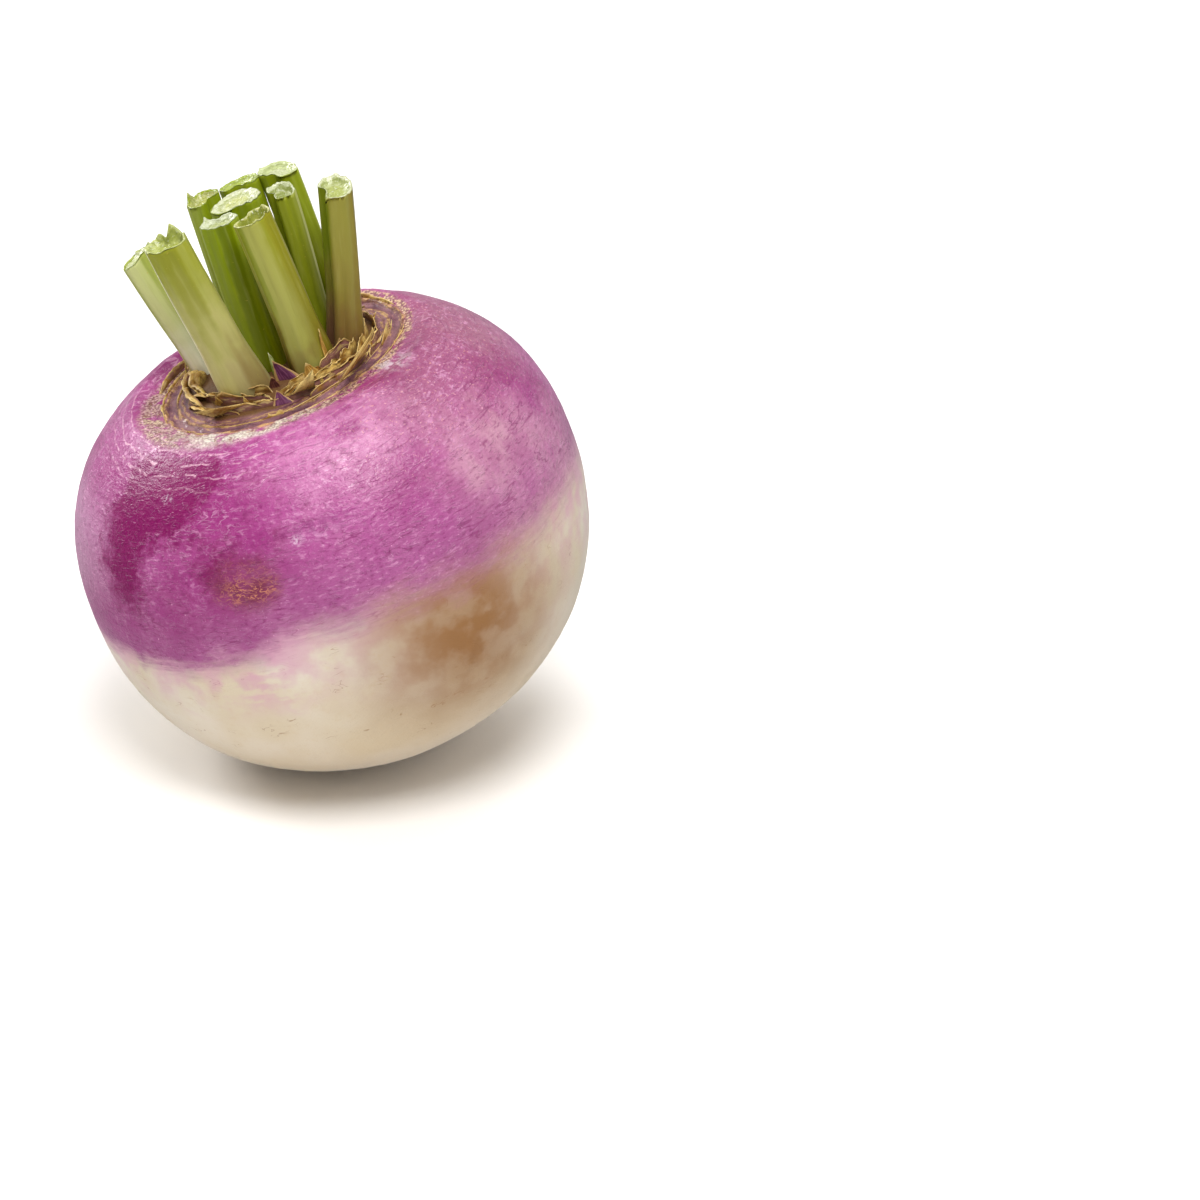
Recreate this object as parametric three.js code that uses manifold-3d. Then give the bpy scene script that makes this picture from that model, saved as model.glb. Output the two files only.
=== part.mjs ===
// A purple-top turnip with its leaves trimmed to short stalks, lying as it was set down on a table.
// Pieces: the bulb (one grown root, from the cut taproot to the crown), ten cut leaf stalks that stand on
// the crown, a ring of dry leaf-base scales round them, and two small pointed bud scales between them.
//
// Units are millimetres. Every piece is modelled in the turnip's own upright frame: the axis from root to
// crown is +Z and the widest ring lies in the plane z = 0. The exported group leans that frame over and
// stands it on the small flat spot that the bulb rests on, whose centre is the origin of the part.
import * as THREE from "three";
import { mergeVertices } from "three/addons/utils/BufferGeometryUtils.js";
import Module from "manifold-3d";

const wasm = await Module();
wasm.setup();

// The bulb is a body of revolution, made of two half superellipses that meet at its widest ring.
const bulb = {
  radius: 42.9,
  shoulderHeight: 34.8,
  shoulderPower: 2.36,
  rootDepth: 40.8,
  rootPower: 2.15,
  sides: 64,
  rootSteps: 13,
  shoulderSteps: 9,
};

// Slow waves that keep the bulb from being a perfect circle seen from above.
const lobes = [
  { count: 2, size: 0.006 },
  { count: 3, size: -0.005 },
  { count: 5, size: 0.002 },
];

// The crown: a low knob inside a ring-shaped trough, with the ridges that old leaf bases left on it.
const crown = {
  centre: new THREE.Vector2(1.2, -1.4),
  troughRadius: 21.5,
  troughHeight: 29.0,
  knobRadius: 8,
  knobRise: 2.1,
  shoulderStart: 22.5,
  shoulderEnd: 27.5,
  ridges: [24, 21.6, 18.6],
  ridgeHeight: 0.35,
  ridgeWidth: 0.6,
  rings: [26.3, 25.4, 24.7, 24, 23.3, 22.3, 21.6, 20.9, 19.4, 18.6, 17.8, 15.5, 12.5, 9, 5, 0],
};

// The cut end of the taproot: a shallow dished scar with a rim.
const rootScar = { radius: 4.6, rimDepth: 40.9, floorDepth: 40.1, collarRadius: 8.5 };

// How the turnip lies: leaned over sideways, on a flat spot worn this deep into the lowest point.
const rest = { leanDegrees: 17.4, flatDepth: 0.6 };

const gap = 0.3; // clearance between neighbouring pieces

// Leaf stalks. base and top are (x, y) in the turnip's frame and cut is the height of the cut end.
// width gives the base and the top, and depth is the section's other way, towards the crown's centre.
// turned swings the section round the stalk, and tilt slopes the cut to the front and right, in degrees.
const stalks = [
  {
    name: "stalk_left", base: [-11.2, 6], top: [-16.4, 4.6], cut: 53,
    width: [7, 7], depth: 5, turned: 0, tilt: [-4, 14],
  },
  {
    name: "stalk_front_left", base: [-4, -9.6], top: [-7.4, -13.8], cut: 60.7,
    width: [8.4, 7.7], depth: 6.4, turned: 10, tilt: [-2, -3],
  },
  {
    name: "stalk_front_middle", base: [7.5, -7.6], top: [6.7, -10], cut: 59.4,
    width: [7.4, 6.6], depth: 5.8, turned: 0, tilt: [-5, 6],
  },
  {
    name: "stalk_right", base: [12.6, -1.9], top: [20.2, -4.4], cut: 58.3,
    width: [5.8, 6.6], depth: 5.8, turned: 25, tilt: [-10, 6],
  },
  {
    name: "stalk_inner_front", base: [-0.6, -3.4], top: [0.2, -4.2], cut: 58.2,
    width: [6, 6.4], depth: 4.7, turned: 40, tilt: [-3, 4],
  },
  {
    name: "stalk_middle", base: [1.8, 2.5], top: [2.8, 1.8], cut: 58.4,
    width: [6.2, 8.4], depth: 6, turned: 10, tilt: [-10, 8],
  },
  {
    name: "stalk_inner_left", base: [-3.7, 6.8], top: [-3.2, 7.6], cut: 58.5,
    width: [5.8, 5.8], depth: 5, turned: 20, tilt: [-6, 5],
  },
  {
    name: "stalk_inner_right", base: [8.2, 3], top: [10.3, 3.2], cut: 57.6,
    width: [5.6, 5], depth: 4.8, turned: 0, tilt: [-13, -2],
  },
  {
    name: "stalk_back_right", base: [10.2, 8.6], top: [9.8, 10], cut: 58.7,
    width: [6.6, 5.8], depth: 5.2, turned: 15, tilt: [-10, -4],
  },
  {
    name: "stalk_back", base: [2.5, 9.8], top: [2.8, 10.8], cut: 58.2,
    width: [6.4, 6.6], depth: 5.2, turned: 0, tilt: [0, 6],
  },
];

const stalkShape = {
  sides: 16,
  steps: 7,
  rootedDepth: 3.5, // how far a stalk is drawn below the crown before the crown is cut out of it
  grooveDepth: 0.24, // the channel along a stalk's inner side, as a share of its depth
  grooveWidth: 0.42, // and as a share of its half width
  flare: 0.14, // the widening of the last stretch above the crown
  bow: 0.5, // how far the middle is pushed outwards
  rimShare: 0.74, // the cut end slopes down from this share of its width
  pithShare: 0.52, // to this one, where the pith is sunk
  pithDepth: 0.7,
};

// Dry leaf-base scales round the stalks: one wavy wall whose upper edge rises to a point at each scale.
// They stand tallest on the right, and no two are quite alike.
const scaleRing = {
  innerRadius: 12.8,
  outerRadius: 17.4,
  tipThickness: 0.8,
  rootedDepth: 1, // how far the wall is drawn below the crown before the crown is cut out of it
  outwardLean: 0.28,
  sides: 96,
  scales: 17,
  halfWidth: 13, // of a scale, in degrees round the ring
  pointedness: 1.2, // 1 gives straight-sided points, and more rounds them
  lowHeight: 0.9, // of the wall between two scales
  height: 2.5, // of a scale's point
  rightSideRise: 0.7,
  unevenness: 0.45,
};

// Small pointed scales that stand in the gaps of the stalks. facing is the way one faces, in degrees round
// the crown, and leanOut is how far its point leans that way, as a share of its height.
const budScales = [
  { name: "bud_scale_front", at: [2.4, -12.2], facing: -80, width: 4.6, height: 4, leanOut: -0.3 },
  { name: "bud_scale_right", at: [12.7, -7.2], facing: -48, width: 4.2, height: 3.6, leanOut: -0.1 },
];

const budShape = {
  sides: 12,
  thickness: 0.9,
  curl: 0.09,
  rootedDepth: 1,
  // half width and height along the outline, as shares of the scale's own
  outline: [[0, 0], [1, 0], [1, 0.3], [0.92, 0.55], [0.55, 0.8], [0.12, 1], [0, 1]],
};

const colours = { bulb: 0xb4589c, stalk: 0x9fae4a, scale: 0xa58244, bud: 0x6e4257 };

const { degToRad, euclideanModulo, lerp, radToDeg, smoothstep } = THREE.MathUtils;

// Height of the unbroken shoulder at a distance from the axis.
function shoulderHeight(distance) {
  const share = Math.min(1, distance / bulb.radius);
  return bulb.shoulderHeight * (1 - share ** bulb.shoulderPower) ** (1 / bulb.shoulderPower);
}

// Height of the bulb's upper surface over a point, with the crown's knob, trough and ridges.
function crownHeight(x, y) {
  const fromCrown = Math.hypot(x - crown.centre.x, y - crown.centre.y);
  const knob = crown.knobRise * (1 - smoothstep(fromCrown, crown.knobRadius, crown.troughRadius));
  const ridges = crown.ridges.reduce(
    (sum, radius) => sum + crown.ridgeHeight * Math.exp(-(((fromCrown - radius) / crown.ridgeWidth) ** 2)),
    0,
  );
  const outer = smoothstep(fromCrown, crown.shoulderStart, crown.shoulderEnd);
  return lerp(crown.troughHeight + knob + ridges, shoulderHeight(Math.hypot(x, y)), outer);
}

// Merges a closed geometry's shared corners and gives it to manifold-3d as a solid.
function solidOf(geometry) {
  const bare = geometry.clone();
  bare.deleteAttribute("normal");
  bare.deleteAttribute("uv");
  const merged = mergeVertices(bare, 1e-4);
  const vertProperties = new Float32Array(merged.attributes.position.array);
  const triVerts = new Uint32Array(merged.index.array);
  return new wasm.Manifold(new wasm.Mesh({ numProp: 3, vertProperties, triVerts }));
}

// The largest body of a solid, as a geometry: a cut can leave a loose scrap, which is dropped.
function geometryOf(solid) {
  const largest = solid.decompose().sort((a, b) => b.volume() - a.volume())[0];
  const mesh = largest.getMesh();
  const geometry = new THREE.BufferGeometry();
  geometry.setAttribute("position", new THREE.BufferAttribute(mesh.vertProperties, 3));
  geometry.setIndex(new THREE.BufferAttribute(mesh.triVerts, 1));
  geometry.computeVertexNormals();
  return geometry;
}

// Lathes a profile of [radius, height] pairs round +Z, then moves each corner where place says.
// place gets the corner's angle, radius and height, and returns its new position.
function shapedLathe(profile, sides, place) {
  const points = profile.map(([radius, height]) => new THREE.Vector2(radius, height));
  const geometry = new THREE.LatheGeometry(points, sides).rotateX(Math.PI / 2);
  const position = geometry.attributes.position;
  for (let i = 0; i < position.count; i++) {
    // the seam's two copies and every copy of a pole have to land on the same point
    const side = Math.floor(i / points.length) % sides;
    const { x: radius, y: height } = points[i % points.length];
    const angle = (2 * Math.PI * side) / sides - Math.PI / 2;
    position.setXYZ(i, ...place(angle, radius, height).toArray());
  }
  return geometry;
}

// The bulb, or with a margin the slightly larger body that keeps other pieces clear of it.
function bulbGeometry(margin = 0) {
  const lower = [
    [0, -rootScar.floorDepth],
    [rootScar.radius * 0.7, -rootScar.floorDepth],
    [rootScar.radius, -rootScar.rimDepth],
  ];
  const firstAngle = Math.asin((rootScar.collarRadius / bulb.radius) ** (bulb.rootPower / 2));
  for (let i = 0; i < bulb.rootSteps; i++) {
    const angle = lerp(firstAngle, Math.PI / 2, i / bulb.rootSteps);
    const radius = bulb.radius * Math.sin(angle) ** (2 / bulb.rootPower);
    lower.push([radius, -bulb.rootDepth * Math.cos(angle) ** (2 / bulb.rootPower)]);
  }
  const upper = [];
  const lastAngle = Math.acos((crown.shoulderEnd / bulb.radius) ** (bulb.shoulderPower / 2));
  for (let i = 0; i <= bulb.shoulderSteps; i++) {
    const angle = (lastAngle * i) / bulb.shoulderSteps;
    const radius = bulb.radius * Math.cos(angle) ** (2 / bulb.shoulderPower);
    upper.push([radius, shoulderHeight(radius)]);
  }
  crown.rings.forEach((radius) => upper.push([radius, shoulderHeight(radius)]));
  return shapedLathe([...lower, ...upper], bulb.sides, (angle, radius, height) => {
    const point = new THREE.Vector3(radius * Math.cos(angle), radius * Math.sin(angle), height);
    if (height > 0) {
      // the rings of the crown slide over to its own centre, and stay on the surface
      const slide = 1 - smoothstep(radius, 24, 40);
      point.x += crown.centre.x * slide;
      point.y += crown.centre.y * slide;
      point.z = crownHeight(point.x, point.y) + margin;
    }
    const wave = lobes.reduce((sum, lobe) => sum + lobe.size * Math.sin(lobe.count * angle), 0);
    const outwards = radius * wave * smoothstep(radius, 20, 38) + (radius > 0 ? margin : 0);
    point.x += outwards * Math.cos(angle);
    point.y += outwards * Math.sin(angle);
    return point;
  });
}

// A stalk's section: round on the outer side, with a channel along the side that faces the crown's centre.
// Returns how far a corner lies outwards and sideways from the stalk's middle line.
function stalkSection(angle, halfWidth, halfDepth) {
  const sideways = halfWidth * Math.sin(angle);
  let outwards = halfDepth * Math.cos(angle);
  if (outwards < 0) {
    const channel = Math.exp(-((sideways / (stalkShape.grooveWidth * halfWidth)) ** 2));
    outwards += 2 * halfDepth * stalkShape.grooveDepth * channel * -Math.cos(angle);
  }
  return [outwards, sideways];
}

// One leaf stalk, from below the crown's surface to its cut end, grown on all sides by margin.
function stalkGeometry(stalk, margin = 0) {
  const [baseX, baseY] = stalk.base;
  const outward = new THREE.Vector3(baseX - crown.centre.x, baseY - crown.centre.y, 0).normalize();
  const base = new THREE.Vector3(baseX, baseY, crownHeight(baseX, baseY));
  const top = new THREE.Vector3(...stalk.top, stalk.cut);
  const direction = top.clone().sub(base).normalize();
  const start = base.clone().addScaledVector(direction, -stalkShape.rootedDepth);
  const middle = start.clone().lerp(top, 0.5).addScaledVector(outward, stalkShape.bow);
  const path = new THREE.QuadraticBezierCurve3(start, middle, top);
  const swing = degToRad(stalk.turned);
  const across = new THREE.Vector3().crossVectors(direction, outward).normalize();
  across.applyAxisAngle(direction, swing);
  const out = new THREE.Vector3().crossVectors(across, direction);
  const [baseWidth, topWidth] = stalk.width;
  const tilts = stalk.tilt.map((degrees) => Math.tan(degToRad(degrees)));

  const profile = [[0, 0]];
  for (let i = 0; i <= stalkShape.steps; i++) profile.push([1, i / stalkShape.steps]);
  profile.push([stalkShape.rimShare, 1], [stalkShape.pithShare, 1], [0, 1]);

  return shapedLathe(profile, stalkShape.sides, (angle, share, height) => {
    const flare = 1 + stalkShape.flare * (1 - smoothstep(height, 0.08, 0.4));
    const halfWidth = (flare * lerp(baseWidth, topWidth, height)) / 2 + margin;
    const halfDepth = (flare * stalk.depth) / 2 + margin;
    const [outwards, sideways] = stalkSection(angle, share * halfWidth, share * halfDepth);
    const point = path.getPoint(height);
    point.addScaledVector(out, outwards).addScaledVector(across, sideways);
    if (height === 1) {
      // the knife's plane: tilted towards the front and to one side
      const slope = tilts[0] * -(point.y - top.y) + tilts[1] * (point.x - top.x);
      const sunk = share < stalkShape.rimShare ? stalkShape.pithDepth : 0;
      point.addScaledVector(direction, slope - sunk + margin);
    }
    return point;
  });
}

// Height of the scale ring's upper edge above the crown, at an angle round it.
function scaleEdge(angle) {
  let highest = scaleRing.lowHeight;
  for (let i = 0; i < scaleRing.scales; i++) {
    const centre = (360 * i) / scaleRing.scales + 4 * Math.sin(2.4 * i);
    const side = scaleRing.rightSideRise * Math.cos(degToRad(centre));
    const height = scaleRing.height + side + scaleRing.unevenness * Math.sin(2.9 * i);
    const apart = Math.abs(euclideanModulo(radToDeg(angle) - centre + 180, 360) - 180);
    const share = 1 - (apart / scaleRing.halfWidth) ** scaleRing.pointedness;
    highest = Math.max(highest, height * share);
  }
  return highest;
}

function scaleRingGeometry() {
  // share across the wall from its inside, and share of its height
  const profile = [[0, 0], [1, 0], [1, 0.5], [1, 1], [0, 1], [0, 0.5], [0, 0]];
  return shapedLathe(profile, scaleRing.sides, (angle, share, height) => {
    const rise = scaleEdge(angle) + scaleRing.rootedDepth;
    const wall = lerp(scaleRing.outerRadius - scaleRing.innerRadius, scaleRing.tipThickness, height);
    const radius = scaleRing.outerRadius + wall * (share - 1) + scaleRing.outwardLean * rise * height;
    const x = crown.centre.x + radius * Math.cos(angle);
    const y = crown.centre.y + radius * Math.sin(angle);
    return new THREE.Vector3(x, y, crownHeight(x, y) - scaleRing.rootedDepth + rise * height);
  });
}

// A pointed scale: a thin shield, curved round the direction it faces.
function budScaleGeometry(scale) {
  const facing = degToRad(scale.facing);
  const out = new THREE.Vector2(Math.cos(facing), Math.sin(facing));
  const [atX, atY] = scale.at;
  const foot = crownHeight(atX, atY) - budShape.rootedDepth;
  return shapedLathe(budShape.outline, budShape.sides, (angle, share, height) => {
    const sideways = (scale.width / 2) * share * Math.sin(angle);
    const thickness = (budShape.thickness / 2) * Math.sqrt(share) * Math.cos(angle);
    const outwards = thickness - budShape.curl * sideways ** 2 + scale.leanOut * height * scale.height;
    return new THREE.Vector3(
      atX + out.x * outwards - out.y * sideways,
      atY + out.y * outwards + out.x * sideways,
      foot + height * (scale.height + budShape.rootedDepth),
    );
  });
}

function meshOf(name, geometry, colour) {
  const material = new THREE.MeshStandardMaterial({ color: colour, roughness: 0.5, metalness: 0 });
  const mesh = new THREE.Mesh(geometry, material);
  mesh.name = name;
  return mesh;
}

// The lean turns the turnip's frame about Y. The bulb's lowest point under that lean sets the table's height.
const leanAngle = degToRad(rest.leanDegrees);
const lean = new THREE.Matrix4().makeRotationY(-leanAngle);
const leaned = bulbGeometry().applyMatrix4(lean);
leaned.computeBoundingBox();
const tableHeight = leaned.boundingBox.min.z + rest.flatDepth;

// Cuts the flat spot with a block below the table, in the turnip's own frame.
const blockSize = 4 * bulb.radius;
const block = new THREE.BoxGeometry(blockSize, blockSize, blockSize);
block.translate(0, 0, tableHeight - blockSize / 2).applyMatrix4(lean.clone().invert());
const bulbSolid = solidOf(bulbGeometry()).subtract(solidOf(block));

// The flat spot's middle, which becomes the origin.
const flatSpot = new THREE.Box3();
const corners = geometryOf(bulbSolid).applyMatrix4(lean).attributes.position;
for (let i = 0; i < corners.count; i++) {
  const corner = new THREE.Vector3().fromBufferAttribute(corners, i);
  if (Math.abs(corner.z - tableHeight) < 0.01) flatSpot.expandByPoint(corner);
}
const origin = flatSpot.getCenter(new THREE.Vector3()).setZ(tableHeight);

const turnip = new THREE.Group();
turnip.rotation.y = -leanAngle;
turnip.position.copy(origin).negate();

const keepClearOfBulb = solidOf(bulbGeometry(gap));
turnip.add(meshOf("bulb", geometryOf(bulbSolid), colours.bulb));

let keepClear = keepClearOfBulb;
for (const stalk of stalks) {
  const solid = solidOf(stalkGeometry(stalk)).subtract(keepClearOfBulb);
  turnip.add(meshOf(stalk.name, geometryOf(solid), colours.stalk));
  keepClear = keepClear.add(solidOf(stalkGeometry(stalk, gap)));
}

for (const scale of budScales) {
  const solid = solidOf(budScaleGeometry(scale)).subtract(keepClear);
  turnip.add(meshOf(scale.name, geometryOf(solid), colours.bud));
}

const ring = solidOf(scaleRingGeometry()).subtract(keepClear);
turnip.add(meshOf("scale_ring", geometryOf(ring), colours.scale));

const part = new THREE.Group();
part.add(turnip);

export default part;
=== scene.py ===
import math
import random

import bmesh
import bpy
from mathutils import Matrix, Vector, noise


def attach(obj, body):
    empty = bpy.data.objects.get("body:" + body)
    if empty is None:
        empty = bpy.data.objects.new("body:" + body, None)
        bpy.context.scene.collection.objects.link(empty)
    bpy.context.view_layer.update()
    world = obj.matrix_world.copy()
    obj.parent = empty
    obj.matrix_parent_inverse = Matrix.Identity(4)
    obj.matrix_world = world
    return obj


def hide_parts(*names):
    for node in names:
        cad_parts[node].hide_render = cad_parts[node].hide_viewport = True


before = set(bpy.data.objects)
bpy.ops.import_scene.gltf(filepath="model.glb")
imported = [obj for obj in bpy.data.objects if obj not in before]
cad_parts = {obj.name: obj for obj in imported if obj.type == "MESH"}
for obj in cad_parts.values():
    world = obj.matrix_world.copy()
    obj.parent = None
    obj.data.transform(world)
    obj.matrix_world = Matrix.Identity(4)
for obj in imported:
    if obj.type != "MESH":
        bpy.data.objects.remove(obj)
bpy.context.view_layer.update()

# Lengths below are millimetres in the turnip's own upright frame: the axis from root to crown is +Z and
# the widest ring lies at height 0. placeOnTable leans that frame over, and turns it into metres.
restValues = {
    "leanDegrees": 17.4,
    "bulbCentre": (2.918, 0, 40.822),  # above the middle of the flat spot
}
lean = Matrix.Rotation(-math.radians(restValues["leanDegrees"]), 4, "Y")
placeOnTable = (
    Matrix.Scale(0.001, 4) @ Matrix.Translation(Vector(restValues["bulbCentre"])) @ lean
)


def lerp(a, b, share):
    return a + (b - a) * share


def smoothstep(value, low, high):
    share = min(1, max(0, (value - low) / (high - low)))
    return share * share * (3 - 2 * share)


def hump(value, middle, width):
    return math.exp(-(((value - middle) / width) ** 2))


def roughly(point, size, seed=0):  # soft noise between -1 and 1, with features of about this size
    return noise.noise(Vector(point) / size + Vector((seed * 7.3, seed * 3.1, seed * 5.7)))


def turnGap(angle, other):  # how far apart two angles are, in radians, at most half a turn
    return abs((angle - other + math.pi) % (2 * math.pi) - math.pi)


def turnedShape(profile, sides):  # a closed body turned from points of radius and height
    bm = bmesh.new()
    corners = [bm.verts.new((radius, 0, height)) for radius, height in profile]
    edges = [bm.edges.new(pair) for pair in zip(corners, corners[1:])]
    bmesh.ops.spin(
        bm, geom=corners + edges, cent=(0, 0, 0), axis=(0, 0, 1), dvec=(0, 0, 0),
        angle=2 * math.pi, steps=sides, use_merge=True,
    )
    bmesh.ops.remove_doubles(bm, verts=bm.verts, dist=1e-4)
    bmesh.ops.recalc_face_normals(bm, faces=bm.faces)
    return bm


def finishPiece(bm, name, finish, nodes=()):
    bmesh.ops.transform(bm, matrix=placeOnTable, verts=bm.verts)
    mesh = bpy.data.meshes.new(name)
    bm.to_mesh(mesh)
    bm.free()
    mesh.shade_smooth()
    mesh.materials.append(finish)
    piece = bpy.data.objects.new(name, mesh)
    bpy.context.scene.collection.objects.link(piece)
    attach(piece, "root")
    if nodes:
        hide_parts(*nodes)
    print(name, len(mesh.polygons), "faces")
    return piece


def rgb(red, green, blue):  # a screen colour, 0 to 255, as Blender's linear one
    def linear(channel):
        share = channel / 255
        return share / 12.92 if share <= 0.04045 else ((share + 0.055) / 1.055) ** 2.4
    return (linear(red), linear(green), linear(blue), 1)


class Wire:  # one socket of a shader, which can be used in sums
    def __init__(self, shader, socket):
        self.shader = shader
        self.socket = socket

    def __add__(self, other):
        return self.shader.sum("ADD", self, other)

    def __sub__(self, other):
        return self.shader.sum("SUBTRACT", self, other)

    def __rsub__(self, other):
        return self.shader.sum("SUBTRACT", other, self)

    def __mul__(self, other):
        return self.shader.sum("MULTIPLY", self, other)

    def __truediv__(self, other):
        return self.shader.sum("DIVIDE", self, other)

    def __rtruediv__(self, other):
        return self.shader.sum("DIVIDE", other, self)

    def __neg__(self):
        return self.shader.sum("MULTIPLY", self, -1)

    __radd__ = __add__
    __rmul__ = __mul__


class Finish:  # a material, or the room's sky, under construction
    def __init__(self, name, owner=None):
        self.owner = owner or bpy.data.materials.new(name)
        self.owner.use_nodes = True
        self.tree = self.owner.node_tree
        self.tree.nodes.clear()

    def add(self, kind, settings=None, sockets=None, out=0):
        node = self.tree.nodes.new("ShaderNode" + kind)
        for key, value in (settings or {}).items():
            setattr(node, key, value)
        for key, value in (sockets or {}).items():
            if isinstance(value, Wire):
                self.tree.links.new(value.socket, node.inputs[key])
            else:
                node.inputs[key].default_value = value
        return Wire(self, node.outputs[out]) if node.outputs else None

    def sum(self, operation, *values):
        return self.add("Math", {"operation": operation}, dict(enumerate(values)))

    def vector(self, operation, *values, out=0):
        return self.add("VectorMath", {"operation": operation}, dict(enumerate(values)), out)

    def step(self, value, low, high):  # 0 below low, 1 above high, smooth between
        if low > high:
            return 1 - self.step(value, high, low)
        settings = {"interpolation_type": "SMOOTHSTEP"}
        return self.add("MapRange", settings, {0: value, 1: low, 2: high, 3: 0.0, 4: 1.0})

    def hump(self, value, middle, width):  # 1 at the middle, falling away on both sides
        away = (value - middle) / width
        return self.sum("EXPONENT", -(away * away))

    def mix(self, share, first, second):
        sockets = {0: share, 6: first, 7: second}
        return self.add("Mix", {"data_type": "RGBA", "clamp_factor": True}, sockets, 2)

    def patterned(self, place, size, detail=2.0, roughness=0.5, distortion=0.0):
        sockets = {"Vector": place, "Scale": 1 / size, "Detail": detail}
        sockets.update({"Roughness": roughness, "Distortion": distortion})
        return self.add("TexNoise", None, sockets)

    def stretched(self, place, scale, offset=(0, 0, 0)):
        return self.add("Mapping", None, {"Vector": place, "Scale": scale, "Location": offset})

    def parts(self, place):
        node = self.add("SeparateXYZ", None, {0: place})
        return [Wire(self, socket) for socket in node.socket.node.outputs]

    def turnipPlace(self):  # a point in the turnip's own upright frame, in millimetres
        centre = [value * 0.001 for value in restValues["bulbCentre"]]
        turn = (0, -math.radians(restValues["leanDegrees"]), 0)
        coordinates = self.add("TexCoord", out=3)
        sockets = {"Vector": coordinates, "Location": centre, "Rotation": turn, "Scale": (0.001,) * 3}
        return self.add("Mapping", {"vector_type": "TEXTURE"}, sockets)

    def attribute(self, name, out=2):
        return self.add("Attribute", {"attribute_name": name}, None, out)

    def blob(self, place, centre, radius, softness=1.0):  # 1 inside a ball, fading out past its edge
        distance = self.vector("DISTANCE", place, centre, out=1)
        return self.step(distance, radius * (1 + softness * 0.5), radius * (1 - softness * 0.5))

    def hairs(self, place, size, width, distortion=0.0):  # thin wandering lines
        pattern = self.patterned(place, size, 1.0, 0.5, distortion)
        return self.step(self.sum("ABSOLUTE", pattern - 0.5), width, width * 0.2)

    def surface(self, colour, roughness, height=None, depth=0.0, **fixed):
        sockets = {"Base Color": colour, "Roughness": roughness}
        if height is not None:
            bump = {"Height": height, "Distance": depth * 0.001, "Strength": 1.0}
            sockets["Normal"] = self.add("Bump", None, bump)
        for key, value in fixed.items():
            sockets[key.replace("_", " ")] = value
        shader = self.add("BsdfPrincipled", None, sockets)
        self.add("OutputMaterial", None, {0: shader})
        return self.owner


# the room: camera, floor and soft lights
cameraValues = {
    "elevation": 26,
    "distance": 900,
    "lens": 160.7,
    "lookAt": (47.87, -5.95, 28.63),
}
slope = math.radians(cameraValues["elevation"])
forwards = Vector((0, math.cos(slope), -math.sin(slope)))
camera = bpy.data.objects.new("camera", bpy.data.cameras.new("camera"))
camera.data.lens = cameraValues["lens"]
camera.data.sensor_width = 36
camera.data.clip_start = 0.01
camera.location = (Vector(cameraValues["lookAt"]) - forwards * cameraValues["distance"]) * 0.001
camera.rotation_euler = (math.pi / 2 - slope, 0, 0)
bpy.context.scene.collection.objects.link(camera)
bpy.context.scene.camera = camera

roomValues = {
    "floorSize": 6.0,
    "floorColour": (0.97, 0.96, 0.95, 1),
    "floorGlow": 0.02,  # keeps the floor nearly white in the soft shadow
    "skyTop": (0.58, 0.58, 0.58, 1),
    "skyEdge": (0.16, 0.16, 0.16, 1),
    "skyBehind": (0.5, 0.5, 0.5, 1),
    "lights": [
        # name, place in metres, size, power in watts, colour
        ("overhead", (0.06, -0.36, 0.72), 0.4, 4.6, (1, 0.988, 0.975)),
        ("farRight", (0.22, 0.22, 0.8), 0.45, 1.2, (1, 0.985, 0.965)),
        ("leftRim", (-0.58, 0.42, 0.42), 0.35, 3.5, (1, 1, 1)),
    ],
}
bmFloor = bmesh.new()
bmesh.ops.create_grid(bmFloor, x_segments=1, y_segments=1, size=roomValues["floorSize"] / 2)
floorMesh = bpy.data.meshes.new("floor")
bmFloor.to_mesh(floorMesh)
bmFloor.free()
floor = bpy.data.objects.new("floor", floorMesh)
bpy.context.scene.collection.objects.link(floor)
glow = {"Emission_Color": (1, 1, 1, 1), "Emission_Strength": roomValues["floorGlow"]}
floor.data.materials.append(Finish("paleFloor").surface(roomValues["floorColour"], 0.7, **glow))
floor.visible_glossy = False  # the skin mirrors the dim room, not the bright floor

world = bpy.data.worlds.new("paleRoom")
sky = Finish("paleRoom", world)
_, behind, climb = sky.parts(sky.add("TexCoord"))
skyColour = sky.mix(sky.step(climb, 0.0, 0.8), roomValues["skyEdge"], roomValues["skyTop"])
skyColour = sky.mix(sky.step(behind, 0.3, 0.95), skyColour, roomValues["skyBehind"])
sky.add("OutputWorld", None, {0: sky.add("Background", None, {0: skyColour})})
bpy.context.scene.world = world
bpy.context.scene.view_settings.view_transform = "Standard"

for name, place, size, power, colour in roomValues["lights"]:
    lamp = bpy.data.lights.new(name, "AREA")
    lamp.shape = "DISK"
    lamp.size = size
    lamp.energy = power
    lamp.color = colour
    light = bpy.data.objects.new(name, lamp)
    light.location = place
    towards = Vector((0, 0, 0.05)) - light.location
    light.rotation_euler = towards.to_track_quat("-Z", "Y").to_euler()
    bpy.context.scene.collection.objects.link(light)
print("room ready")


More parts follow.
